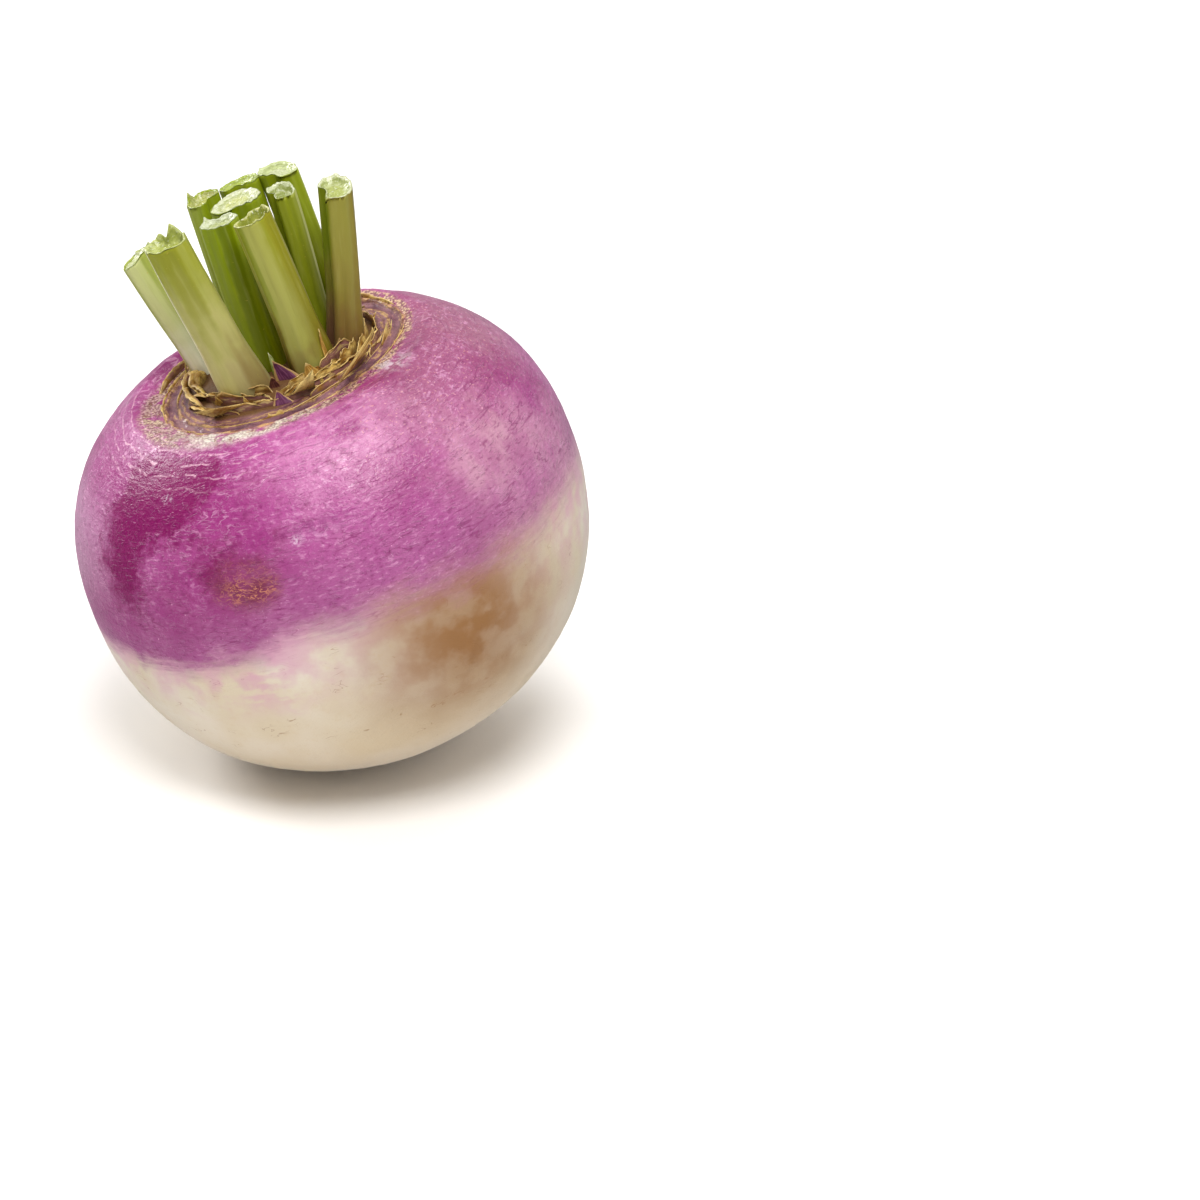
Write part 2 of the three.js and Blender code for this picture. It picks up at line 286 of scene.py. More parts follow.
# the bulb, and the crown on top of it
bulb = {
    "radius": 42.9,
    "shoulderHeight": 34.8,
    "shoulderPower": 2.36,
    "rootDepth": 40.8,
    "rootPower": 2.15,
    "scarRadius": 4.6,
    "scarRim": 40.9,
    "scarFloor": 40.1,
    "collarRadius": 8.5,
    "lobes": [(2, 0.006), (3, -0.005), (5, 0.002)],  # waves round the bulb, and how high each is
    "lobeFade": (20, 38),  # the waves grow between these distances from the axis
    "crownShift": (24, 40),  # and the crown's own centre gives way to the bulb's between these
    "dents": [(0.16, 9, 5), (0.05, 2.2, 6)],  # height, size and seed
    "sides": 384,
    "rootRings": 60,
    "shoulderRings": 40,
}
crown = {
    "centre": (1.2, -1.4),
    "troughRadius": 21.5,
    "troughHeight": 29.0,
    "knobRadius": 8,
    "knobRise": 2.1,
    "shoulderStart": 22.5,
    "shoulderEnd": 27.5,
    "paperRing": 21.4,  # radius of the thin papery line round the crown
    "paperHeight": 0.4,
    "corkHeight": 0.42,
    "grooveDepth": 0.35,
    "fineRings": [(-1.9, 0.16), (-2.7, 0.2), (-3.5, 0.16), (5.3, 0.08), (7.2, 0.06)],  # place, height
    "meshSpacing": 0.3,  # between rings of the mesh, outside fineFrom
    "meshSpacingInside": 1.6,
    "fineFrom": 14,
}


def shoulderHeight(distance):
    share = min(1, distance / bulb["radius"])
    power = bulb["shoulderPower"]
    return bulb["shoulderHeight"] * (1 - share ** power) ** (1 / power)


def crownHeight(x, y):
    away = math.hypot(x - crown["centre"][0], y - crown["centre"][1])
    knob = crown["knobRise"] * (1 - smoothstep(away, crown["knobRadius"], crown["troughRadius"]))
    outer = smoothstep(away, crown["shoulderStart"], crown["shoulderEnd"])
    return lerp(crown["troughHeight"] + knob, shoulderHeight(math.hypot(x, y)), outer)


def paperRadius(angle):  # the papery line isn't a circle: it bulges to the front left and the back right
    swell = 1.2 * math.sin(angle) + 1.6 * math.cos(2 * (angle - math.radians(65)))
    return crown["paperRing"] + swell


def fromPaperRing(x, y):  # distance outwards from the papery line
    x -= crown["centre"][0]
    y -= crown["centre"][1]
    return math.hypot(x, y) - paperRadius(math.atan2(y, x))


def crownRelief(x, y):  # the fine rings that old leaves left round the crown
    gap = fromPaperRing(x, y)
    at = (x, y, 0)
    wander = 0.35 * roughly(at, 3.5, 1) + 0.2 * roughly(at, 1.3, 2)
    gap += wander
    lumps = 0.5 + 0.5 * roughly(at, 1.1, 3)
    patches = smoothstep(roughly(at, 7, 4), -0.5, 0.3)
    cork = smoothstep(gap, 0.4, 1.2) * smoothstep(gap, 4.2, 2.6)
    height = crown["corkHeight"] * cork * (0.35 + 0.65 * lumps) * (0.4 + 0.6 * patches)
    height += crown["paperHeight"] * hump(gap, 0, 0.35) * (0.5 + 0.5 * lumps)
    height -= crown["grooveDepth"] * hump(gap, -1.1, 0.6)
    for place, size in crown["fineRings"]:
        height += size * hump(gap, place, 0.22) * smoothstep(roughly(at, 4, place), -0.3, 0.2)
    return height


def makeBulb(finish):
    lower = [(0, -bulb["scarFloor"])]
    for share in (0.35, 0.7, 0.85):
        lower.append((bulb["scarRadius"] * share, -bulb["scarFloor"]))
    lower.append((bulb["scarRadius"], -bulb["scarRim"]))
    lower.append((bulb["scarRadius"] * 1.25, -bulb["scarRim"]))
    first = math.asin((bulb["collarRadius"] / bulb["radius"]) ** (bulb["rootPower"] / 2))
    for i in range(bulb["rootRings"]):
        angle = lerp(first, math.pi / 2, i / bulb["rootRings"])
        radius = bulb["radius"] * math.sin(angle) ** (2 / bulb["rootPower"])
        lower.append((radius, -bulb["rootDepth"] * math.cos(angle) ** (2 / bulb["rootPower"])))
    upper = []
    fineEdge = crown["shoulderEnd"] + 2
    last = math.acos((fineEdge / bulb["radius"]) ** (bulb["shoulderPower"] / 2))
    for i in range(bulb["shoulderRings"]):
        angle = last * i / bulb["shoulderRings"]
        radius = bulb["radius"] * math.cos(angle) ** (2 / bulb["shoulderPower"])
        upper.append((radius, shoulderHeight(radius)))
    radius = fineEdge
    while radius > 0.5:
        upper.append((radius, shoulderHeight(radius)))
        radius -= crown["meshSpacing"] if radius > crown["fineFrom"] else crown["meshSpacingInside"]
    upper.append((0, shoulderHeight(0)))

    bm = turnedShape(lower + upper, bulb["sides"])
    gapLayer = bm.verts.layers.float.new("fromRing")
    for vert in bm.verts:
        x, y, z = vert.co
        radius = math.hypot(x, y)
        angle = math.atan2(y, x)
        gap = 30
        if z > 0:
            slide = 1 - smoothstep(radius, *bulb["crownShift"])
            x += crown["centre"][0] * slide
            y += crown["centre"][1] * slide
            z = crownHeight(x, y) + crownRelief(x, y)
            gap = fromPaperRing(x, y)
        vert[gapLayer] = gap
        wave = sum(size * math.sin(count * angle) for count, size in bulb["lobes"])
        outwards = radius * wave * smoothstep(radius, *bulb["lobeFade"])
        x += outwards * math.cos(angle)
        y += outwards * math.sin(angle)
        vert.co = (x, y, z)
    bm.normal_update()
    for vert in bm.verts:  # dents and pits
        depths = [height * roughly(vert.co, size, seed) for height, size, seed in bulb["dents"]]
        vert.co += vert.normal * sum(depths)

    down = lean.inverted() @ Vector((0, 0, -1))
    floorAt = -restValues["bulbCentre"][2]
    sole = bmesh.ops.bisect_plane(
        bm, geom=list(bm.verts) + list(bm.edges) + list(bm.faces), dist=1e-5,
        plane_co=down * -floorAt, plane_no=down, clear_outer=True,
    )
    rim = [item for item in sole["geom_cut"] if isinstance(item, bmesh.types.BMEdge)]
    bmesh.ops.holes_fill(bm, edges=rim, sides=0)
    return finishPiece(bm, "bulbSkin", finish, ["bulb"])


darkPatches = [  # centre, size and strength of the parts of the dark patch on the left
    ((-20.5, -27.5, 23.5), 6, 1.0), ((-23.6, -23.8, 25.5), 5, 0.8), ((-28, -27, 17.5), 5.5, 0.9),
    ((-11, -30, 26), 4, 0.7), ((-30, -29, 10), 5, 0.6), ((-4, -39, 17.5), 6, 0.3),
    ((-14, -38, 12), 6, 0.5), ((-16, -30.4, 23.6), 5.5, 0.4),
]
skinTones = {  # screen colours, 0 to 255
    "cream": (222, 212, 195),
    "creamShade": (214, 200, 174),
    "rootTan": (206, 178, 138),
    "creamFleck": (206, 180, 138),
    "rootDash": (150, 104, 62),
    "pinkWash": (208, 150, 176),
    "tanAndPaintedShade": (152, 108, 64),
    "pinkTongue": (210, 152, 180),
    "purple": (148, 36, 114),
    "purpleLight": (176, 78, 146),
    "purplePale": (198, 122, 168),
    "brightPatch": (216, 142, 188),
    "softBand": (136, 30, 104),
    "leftSide": (144, 38, 110),
    "darkPatch": (126, 0, 86),
    "peach": (224, 182, 190),
    "greyBack": (146, 80, 104),
    "leftRim": (206, 168, 194),
    "lowerEdge": (166, 92, 142),
    "darkFleck": (122, 22, 92),
    "paleFleck": (214, 146, 190),
    "rusty": (222, 156, 150),
    "scratch": (232, 168, 208),
    "darkStreak": (124, 22, 92),
    "cork": (200, 158, 156),
    "corkGold": (214, 178, 148),
    "corkTan": (206, 184, 146),
    "corkGap": (138, 86, 96),
    "chalk": (226, 220, 206),
    "corkSpeck": (124, 82, 50),
    "mauveDark": (84, 42, 58),
    "mauve": (128, 80, 90),
    "mauvePale": (162, 120, 122),
    "mauveGold": (186, 146, 96),
    "mauveSpeck": (106, 66, 58),
    "crownMiddle": (108, 74, 40),
    "paperDark": (112, 70, 30),
    "paper": (204, 160, 98),
    "arc": (226, 176, 196),
    "scuff": (228, 212, 222),
    "lightStreak": (222, 164, 204),
    "markShade": (126, 34, 104),
    "nick": (236, 214, 232),
    "scab": (116, 34, 62),
    "scabNet": (204, 130, 96),
    "rootCutDark": (150, 116, 76),
    "rootCut": (204, 180, 138),
}


def skinFinish():
    skin = Finish("turnipSkin")
    tones = {name: rgb(*tone) for name, tone in skinTones.items()}
    place = skin.turnipPlace()
    x, y, z = skin.parts(place)
    gap = skin.attribute("fromRing")
    radius = skin.sum("SQRT", x * x + y * y) + 0.001
    across = x / radius  # cosine and sine of the angle round the axis
    along = y / radius

    def facing(degrees, sharpness):  # 1 at an angle round the bulb, falling away on both sides
        angle = math.radians(degrees)
        match = across * math.cos(angle) + along * math.sin(angle)
        return skin.sum("EXPONENT", (match - 1) * sharpness)

    # patterns
    broad = skin.patterned(place, 16, 2)
    middle = skin.patterned(place, 5, 3)
    fine = skin.patterned(place, 1.2, 3, 0.6)
    grain = skin.patterned(place, 0.45, 2)
    flecked = skin.patterned(skin.stretched(place, (0.6, 0.6, 1.4)), 0.8, 3, 0.65)
    rounds = skin.patterned(skin.stretched(place, (0.22, 0.22, 1.5)), 1.6, 4, 0.65)
    warped = skin.add("TexNoise", None, {"Vector": place, "Scale": 0.16, "Detail": 3.0}, 1)
    warped = skin.vector("MULTIPLY_ADD", warped, (14, 14, 14), skin.vector("SUBTRACT", place, (7, 7, 7)))

    # where the purple ends, and how softly
    edge = -2.4 + facing(-55, 1.2) * 2.2 - facing(-120, 34) * 2.0 + facing(-92, 50) * 1.4
    edge = edge + (middle - 0.5) * 7 + (broad - 0.5) * 5 + (rounds - 0.5) * 5
    soft = 2.2 + facing(-50, 2) * 3.6
    over = (z - edge) / soft
    purple = skin.step(over, -1.0, 1.0)

    # root end
    cream = skin.mix(skin.step(broad, 0.35, 0.65), tones["cream"], tones["creamShade"])
    tan = skin.step(z, -8, -38) * 0.5
    cream = skin.mix(tan, cream, tones["rootTan"])
    cream = skin.mix(skin.step(fine, 0.5, 0.75) * 0.2, cream, tones["creamFleck"])
    dashes = skin.hairs(skin.stretched(place, (0.5, 0.5, 1.5)), 2.2, 0.014, 1.0)
    dashes = dashes * skin.step(skin.patterned(place, 4.0, 1), 0.6, 0.68)
    cream = skin.mix(dashes * 0.6, cream, tones["rootDash"])
    swirled = skin.stretched(place, (0.75,) * 3)
    swirled = skin.vector("MULTIPLY_ADD", warped, (0.25,) * 3, swirled)
    # a tan patch low on the right front: partly the skin's own tan, partly painted shade and warm reflected
    # light
    shadeTan = skin.blob(swirled, (21, -34, -9), 16, 1.6)
    wash = skin.step(over, -4.5, 0.3) * skin.step(middle, 0.36, 0.64) * (1 - shadeTan * 0.7)
    cream = skin.mix(wash * 0.75, cream, tones["pinkWash"])
    cream = skin.mix(shadeTan * (0.8 + 0.2 * skin.step(middle, 0.35, 0.6)), cream, tones["tanAndPaintedShade"])
    tongue = skin.blob(warped, (-12, -41, -4), 7, 1.2) * skin.step(middle + rounds, 0.8, 1.1)
    cream = skin.mix(tongue * 0.5, cream, tones["pinkTongue"])

    # purple top
    top = skin.mix(skin.step(broad, 0.35, 0.68), tones["purple"], tones["purpleLight"])
    top = skin.mix(skin.step(middle, 0.4, 0.8) * 0.55, top, tones["purplePale"])
    # a pale patch on the front shoulder: partly paler skin, partly a painted sheen from the overhead light
    paleAndSheen = skin.blob(place, (10, -31, 25), 9, 1.3) + skin.blob(place, (18, -26, 26), 6, 1.3)
    top = skin.mix(paleAndSheen * skin.step(middle, 0.2, 0.6) * 0.6, top, tones["brightPatch"])
    top = skin.mix(skin.step(rounds, 0.52, 0.75) * 0.35, top, tones["softBand"])
    # the left side of the purple painted darker: painted shade
    top = skin.mix(facing(-145, 2.4) * 0.3, top, tones["leftSide"])
    nearby = 0
    for centre, size, strength in darkPatches:
        nearby = skin.blob(place, centre, size, 2.0) * strength + nearby
    dark = skin.step(nearby + (middle - 0.5) * 1.5 + (fine - 0.5) * 1.1, 0.15, 0.85)
    top = skin.mix(dark, top, tones["darkPatch"])
    clouds = skin.step(skin.patterned(skin.stretched(place, (1, 1, 0.6)), 6, 4, 0.65), 0.42, 0.62)
    peach = skin.blob(warped, (34, -24, 13), 10, 1.7) + skin.blob(warped, (41, -10, 2), 9, 1.8)
    peach = peach + skin.blob(warped, (33, 2, 24), 7, 1.8) * 0.6
    top = skin.mix(peach * (0.5 + 0.5 * clouds) * 0.75, top, tones["peach"])
    grey = skin.step(x, 10, 28) * skin.step(z, 14, 30) * 0.7
    top = skin.mix(grey, top, tones["greyBack"])
    # a pale band painted along the left edge: painted reflection of the bright room at the grazing edge
    rim = facing(-162, 14) * skin.step(z, 2, 12) * skin.step(z, 26, 18) * (1 - dark)
    top = skin.mix(rim * 0.45, top, tones["leftRim"])
    near = skin.step(over, 5.0, 0.0) * 0.7
    top = skin.mix(near, top, tones["lowerEdge"])
    top = skin.mix(skin.step(flecked, 0.54, 0.68) * 0.45, top, tones["darkFleck"])
    pale = skin.step(flecked, 0.46, 0.3) * (0.2 + 0.4 * skin.step(broad, 0.4, 0.6)) * (1 - dark * 0.8)
    top = skin.mix(pale, top, tones["paleFleck"])
    colour = skin.mix(purple, cream, top)

    # fine pale scratches and specks, partly the skin's own marks and partly painted glints, and darker
    # streaks round the bulb
    curls = skin.hairs(place, 1.5, 0.04, 1.0) * skin.step(skin.patterned(place, 1.3, 1), 0.5, 0.56)
    fuzz = skin.hairs(skin.stretched(place, (1, 1, 1), (9, 4, 2)), 0.8, 0.06, 0.6)
    fuzz = fuzz * skin.step(skin.patterned(place, 0.9, 1), 0.5, 0.58)
    laid = skin.hairs(skin.stretched(place, (0.4, 0.4, 1.6), (3, 8, 5)), 1.2, 0.045, 0.5)
    laid = laid * skin.step(skin.patterned(place, 2.2, 1), 0.5, 0.58)
    zones = 0.3 + 0.7 * skin.step(skin.patterned(place, 8, 2), 0.4, 0.56)
    specksAndGlints = skin.step(grain, 0.68, 0.74) * skin.step(middle, 0.38, 0.6)
    scratchesAndGlints = skin.sum("MAXIMUM", curls * 0.24, skin.sum("MAXIMUM", fuzz * 0.14, laid * 0.5))
    crowded = 0.3 + 0.6 * skin.step(z, 12, 27) + facing(-165, 3) * 0.35
    scratchesAndGlints = skin.sum("MAXIMUM", scratchesAndGlints * zones * crowded, specksAndGlints * 0.8)
    scratchesAndGlints = scratchesAndGlints * purple * (1 - dark * 0.85)
    rusty = skin.step(grain, 0.62, 0.7) * skin.step(x, 2, 20) * skin.step(z, 12, 26)
    colour = skin.mix(rusty * purple * 0.6, colour, tones["rusty"])
    colour = skin.mix(scratchesAndGlints, colour, tones["scratch"])
    streaks = skin.hairs(skin.stretched(place, (0.16, 0.16, 1.0)), 1.2, 0.03, 0.4)
    streaks = streaks * skin.step(skin.patterned(place, 5, 1), 0.48, 0.6) * purple
    colour = skin.mix(streaks * 0.5, colour, tones["darkStreak"])

    # rings of old leaf bases
    wander = (skin.patterned(place, 3.0, 2) - 0.5) * 1.5 + gap
    ringed = skin.add("CombineXYZ", None, {0: across * 5, 1: along * 5, 2: gap * 1.0})
    rings = skin.patterned(ringed, 1.0, 3, 0.7)
    beads = skin.add("TexVoronoi", None, {"Vector": place, "Scale": 1.9})
    gold = skin.step(y, -27, -18) * skin.step(x, -4, 8)
    lumps = skin.step(beads + (fine - 0.5) * 0.8, 0.75, 0.3)
    wide = 1.6 + facing(-135, 1.5) * 3.4
    cork = skin.step(wander, 0.1, 0.5) * skin.step(wander / wide, 1.2, 0.8)
    chalk = facing(-104, 9) * skin.step(skin.patterned(place, 3, 3), 0.34, 0.5)
    corkColour = skin.mix(gold, tones["cork"], tones["corkGold"])
    corkColour = skin.mix(skin.step(middle, 0.4, 0.6) * (1 - gold) * 0.7, corkColour, tones["corkTan"])
    corkColour = skin.mix(lumps, tones["corkGap"], corkColour)
    corkColour = skin.mix(chalk * (0.5 + 0.5 * lumps), corkColour, tones["chalk"])
    corkColour = skin.mix(skin.step(fine, 0.56, 0.66) * 0.6, corkColour, tones["corkSpeck"])
    show = skin.sum("MAXIMUM", chalk, skin.step(skin.patterned(place, 2.2, 2), 0.34, 0.5))
    colour = skin.mix(cork * show, colour, corkColour)
    inside = skin.step(wander, 0.2, -0.3)
    mauve = skin.mix(skin.step(rings, 0.36, 0.6), tones["mauveDark"], tones["mauve"])
    mauve = skin.mix(skin.step(middle, 0.45, 0.65) * 0.45, mauve, tones["mauvePale"])
    mauve = skin.mix(skin.step(rings, 0.57, 0.63) * 0.8, mauve, tones["mauveGold"])
    mauve = skin.mix(skin.step(fine, 0.6, 0.68) * 0.4, mauve, tones["mauveSpeck"])
    mauve = skin.mix(skin.step(wander, -3.6, -5.0), mauve, tones["crownMiddle"])
    colour = skin.mix(inside, colour, mauve)
    paper = skin.sum("MAXIMUM", skin.hump(wander, 0, 0.3), skin.hump(wander, -2.3, 0.26) * 0.8)
    paper = skin.sum("MAXIMUM", paper, skin.hump(wander + (fine - 0.5), -3.2, 0.22) * 0.6)
    paperColour = skin.mix(skin.step(fine, 0.4, 0.6), tones["paperDark"], tones["paper"])
    colour = skin.mix(paper * 0.9, colour, paperColour)
    arcs = skin.sum("SINE", gap * 3.6 + (skin.patterned(place, 6, 2) - 0.5) * 8)
    arcs = arcs - (skin.patterned(place, 0.8, 2) - 0.5) * 0.5
    arcs = skin.step(arcs, 0.84, 0.98) * skin.step(gap, 1.5, 3.0) * skin.step(gap, 13, 8)
    arcs = arcs * skin.step(skin.patterned(place, 2.0, 1), 0.36, 0.5)
    arcs = arcs * (0.2 + 0.8 * facing(-145, 2.0))
    colour = skin.mix(arcs * (0.3 + 0.5 * skin.step(fine, 0.6, 0.45)), colour, tones["arc"])

    scuff = skin.blob(swirled, (20.8, -12.5, 30.5), 3.0, 1.4) * skin.step(fine, 0.44, 0.58)
    colour = skin.mix(scuff * 0.7, colour, tones["scuff"])

    # a few single marks: two small pale nicks, and a light streak under a dark one
    nicks = skin.blob(place, (-18.5, -29.1, 23.7), 0.8, 1.4)
    nicks = nicks + skin.blob(place, (0.9, -40.1, 15.4), 0.8, 1.4)
    nicks = nicks * skin.step(grain, 0.44, 0.58)
    drawn = skin.stretched(place, (0.3, 0.3, 1.6))
    broken = skin.step(fine, 0.4, 0.56)
    streak = skin.blob(drawn, (4.2 * 0.3, -40 * 0.3, 15.2 * 1.6), 1.2, 1.4) * broken
    shade = skin.blob(drawn, (5 * 0.3, -39.4 * 0.3, 16.6 * 1.6), 1.6, 1.4) * broken
    colour = skin.mix(streak * 0.35, colour, tones["lightStreak"])
    colour = skin.mix(shade * 0.4, colour, tones["markShade"])
    colour = skin.mix(nicks * 0.5, colour, tones["nick"])

    # the scab
    scabPlace = skin.stretched(swirled, (0.85, 0.85, 1.1))
    scab = skin.blob(scabPlace, (-9 * 0.85, -40.7 * 0.85, 10.6 * 1.1), 4.2, 1.3)
    bar = skin.blob(skin.stretched(swirled, (0.5, 0.5, 2)), (-8.5 * 0.5, -41 * 0.5, 9.2 * 2), 3.0, 1.2)
    net = skin.hairs(skin.stretched(place, (0.6, 0.6, 1.5)), 1.0, 0.05, 1.0)
    net = skin.sum("MAXIMUM", net, skin.step(fine, 0.56, 0.64) * 0.5)
    colour = skin.mix(scab * (0.4 + 0.5 * skin.step(middle, 0.35, 0.6)), colour, tones["scab"])
    colour = skin.mix(scab * net * (0.3 + bar * 0.6), colour, tones["scabNet"])

    # the cut root
    rootEnd = skin.step(z, -39.6, -40.6) * skin.step(radius, 7.5, 5.0)
    rootColour = skin.mix(skin.step(fine, 0.4, 0.65), tones["rootCutDark"], tones["rootCut"])
    colour = skin.mix(rootEnd, colour, rootColour)

    roughness = 0.33 + cork * 0.3 + inside * 0.3 + scratchesAndGlints * 0.1 + scab * 0.25
    height = fine * 0.6 + grain * 0.4 + rounds * 0.8 + curls * 0.25 + laid * 0.3 - flecked * 0.7
    height = height * (0.2 + 0.8 * purple)
    height = height + cork * lumps * 0.9 + paper * 1.0 + inside * rings * 1.0
    glints = purple * skin.step(flecked, 0.46, 0.34) * (1 - dark)
    gloss = {"Coat_Weight": glints * 0.5, "Coat_Roughness": 0.18}
    return skin.surface(colour, roughness, height, 0.2, Specular_IOR_Level=0.4, **gloss)


makeBulb(skinFinish())


# the cut leaf stalks
stalkShape = {
    "sides": 64,
    "steps": 26,
    "rootedDepth": 3.5,
    "grooveDepth": 0.24,
    "grooveWidth": 0.42,
    "flare": 0.14,
    "bow": 0.5,
    "capRings": [0.985, 0.965, 0.93, 0.88, 0.82, 0.75, 0.67, 0.58, 0.48, 0.38, 0.26, 0.13],
    "ribHeight": 0.06,
}
# base and top are in the turnip's frame, and cut is the height of the cut end. tilt slopes the cut to
# the front and to the right in degrees. dish is how far its middle is sunk. colours are the greens of
# the foot, the middle and the top, and blush is how brown the foot is. A stripe runs up the stalk: its
# angle round the stalk and half width in degrees, colour, strength, and 1 to fade it out downwards or
# -1 upwards. Some stripes are the stalk's own tone and some are painted light: thin pale edge lines are
# painted highlights, and some darker bands are painted shade. A flap is a torn point of the rim: angle,
# half width and height. rimWidth is the share of the cut end that its pale rim takes, and cutColours are
# those of its rim, pith and centre.
stalks = [
    {
        "name": "stalk_left", "base": (-11.2, 6), "top": (-16.4, 4.6), "cut": 53,
        "width": (7, 7), "depth": 5, "turned": 0, "tilt": (8, 14), "dish": 0.5,
        "colours": [(176, 168, 116), (184, 186, 118), (166, 176, 84)], "blush": 0.3,
        "stripes": [(120, 26, (206, 208, 152), 0.6, 0), (120, 34, (236, 234, 210), 1.0, -1),
                    (60, 16, (150, 158, 50), 0.6, 1)],
        "rimWidth": 0.08, "flaps": [(-40, 12, 0.5)],
        "cutColours": [(150, 162, 70), (212, 214, 172), (196, 200, 146)],
    },
    {
        "name": "stalk_front_left", "base": (-4, -9.6), "top": (-7.4, -13.8), "cut": 60.7,
        "width": (8.4, 7.7), "depth": 6.4, "turned": 10, "tilt": (7, -3), "dish": 1.2,
        "colours": [(180, 170, 112), (180, 176, 104), (146, 150, 36)], "blush": 0.3,
        # the thin pale stripe at -62 is a painted highlight along the left edge; the paler left part and the
        # darker right band are partly painted light and shade
        "stripes": [(-62, 9, (232, 228, 196), 0.9, 0), (-36, 24, (202, 196, 136), 0.7, -1),
                    (24, 20, (132, 134, 22), 0.6, 1), (70, 22, (122, 100, 46), 0.7, -1)],
        "rimWidth": 0.06,
        "flaps": [(162, 22, 2.5), (120, 26, 0.6), (-150, 20, 0.8)],
        "cutColours": [(190, 198, 126), (176, 182, 92), (160, 168, 66)],
    },
    {
        "name": "stalk_front_middle", "base": (7.5, -7.6), "top": (6.7, -10), "cut": 59.4,
        "width": (7.4, 6.6), "depth": 5.8, "turned": 0, "tilt": (3, 4), "dish": 2.4,
        # its brown foot (blush) is partly painted shade between the stalks
        "colours": [(100, 74, 0), (144, 142, 54), (146, 148, 34)], "blush": 0.4,
        "stripes": [(-50, 26, (166, 166, 84), 0.7, 0), (30, 24, (140, 134, 22), 0.6, 0),
                    (-85, 10, (120, 134, 20), 0.6, 1)],
        "rimWidth": 0.05, "flaps": [(95, 16, 0.5), (20, 8, 0.5), (-20, 6, 0.4)],
        "cutColours": [(206, 206, 138), (156, 158, 56), (140, 142, 38)],
    },
    {
        "name": "stalk_right", "base": (12.6, -1.9), "top": (20.2, -4.4), "cut": 58.3,
        "width": (5.8, 6.6), "depth": 5.8, "turned": 25, "tilt": (-10, 6), "dish": 1.0,
        "colours": [(132, 104, 54), (142, 130, 54), (138, 134, 44)], "blush": 0.6,
        "stripes": [(-178, 28, (108, 122, 4), 0.95, 1), (-178, 28, (120, 86, 62), 0.8, -1),
                    (-100, 24, (148, 142, 56), 0.6, 1), (-40, 20, (136, 118, 38), 0.6, 0)],
        "rimWidth": 0.1, "flaps": [(-150, 20, -1.3), (60, 14, 0.5)],
        "cutColours": [(208, 212, 174), (180, 188, 118), (168, 176, 96)],
    },
    {
        "name": "stalk_inner_front", "base": (-0.6, -3.4), "top": (0.2, -4.2), "cut": 58.2,
        "width": (6, 6.4), "depth": 4.7, "turned": 40, "tilt": (-3, 4), "dish": 0.7,
        "colours": [(136, 142, 0), (138, 150, 0), (142, 160, 0)], "blush": 0,
        # the thin pale stripe at -118 is a painted highlight along an edge
        "stripes": [(-118, 9, (186, 192, 140), 0.8, 0), (-30, 22, (132, 148, 22), 0.6, 0),
                    (20, 20, (80, 92, 0), 0.6, 0)],
        "rimWidth": 0.3, "flaps": [(-130, 14, 0.8)],
        "cutColours": [(198, 204, 170), (186, 192, 146), (176, 184, 122)],
    },
    {
        "name": "stalk_middle", "base": (1.8, 2.5), "top": (2.8, 1.8), "cut": 58.4,
        "width": (6.2, 8.8), "depth": 6, "turned": 10, "tilt": (-10, 8), "dish": 0.3,
        "colours": [(92, 104, 0), (110, 124, 2), (130, 146, 10)], "blush": 0,
        "stripes": [(-20, 20, (100, 112, 0), 0.4, 0)],
        "rimWidth": 0.22, "flaps": [(-150, 10, 0.5)],
        "cutColours": [(204, 208, 172), (194, 198, 142), (192, 196, 124)],
    },
    {
        "name": "stalk_inner_left", "base": (-3.7, 6.8), "top": (-3.2, 7.6), "cut": 58.5,
        "width": (5.8, 5.8), "depth": 5, "turned": 20, "tilt": (-6, 5), "dish": 1.0,
        "colours": [(104, 116, 0), (122, 136, 4), (134, 150, 18)], "blush": 0,
        "stripes": [(60, 12, (166, 178, 70), 0.5, 0)],
        "rimWidth": 0.08, "flaps": [(20, 26, 1.6)],
        "cutColours": [(140, 154, 24), (190, 188, 118), (176, 178, 90)],
    },
    {
        "name": "stalk_inner_right", "base": (8.2, 3), "top": (10.3, 3.2), "cut": 57.6,
        "width": (5.6, 5), "depth": 4.8, "turned": 0, "tilt": (-13, -2), "dish": 1.2,
        "colours": [(90, 98, 0), (116, 124, 6), (132, 142, 18)], "blush": 0,
        # the thin pale stripe at -44 is a painted highlight along an edge
        "stripes": [(-44, 8, (204, 208, 130), 0.5, 1), (-120, 20, (140, 148, 30), 0.5, 0)],
        "rimWidth": 0.13, "flaps": [(-160, 14, 0.3)],
        "cutColours": [(200, 206, 164), (146, 154, 80), (136, 146, 70)],
    },
    {
        "name": "stalk_back_right", "base": (10.2, 8.6), "top": (9.8, 10), "cut": 58.7,
        "width": (6.8, 7.0), "depth": 5.4, "turned": 15, "tilt": (-10, -4), "dish": 0.6,
        "colours": [(104, 112, 0), (118, 128, 4), (134, 148, 16)], "blush": 0.1,
        "stripes": [(-70, 12, (160, 172, 70), 0.5, 0)],
        "rimWidth": 0.1, "flaps": [(150, 12, 0.4)],
        "cutColours": [(196, 206, 150), (184, 194, 132), (194, 200, 156)],
    },
    {
        "name": "stalk_back", "base": (2.5, 9.8), "top": (2.8, 10.8), "cut": 58.2,
        "width": (6.6, 7.2), "depth": 5.2, "turned": 0, "tilt": (0, 6), "dish": 0.8,
        "colours": [(108, 118, 2), (120, 134, 6), (138, 152, 18)], "blush": 0.1,
        "stripes": [(-60, 12, (150, 164, 60), 0.4, 0)],
        "rimWidth": 0.07, "flaps": [(-150, 14, 0.3)],
        "cutColours": [(150, 168, 40), (168, 182, 84), (178, 188, 108)],
    },
]


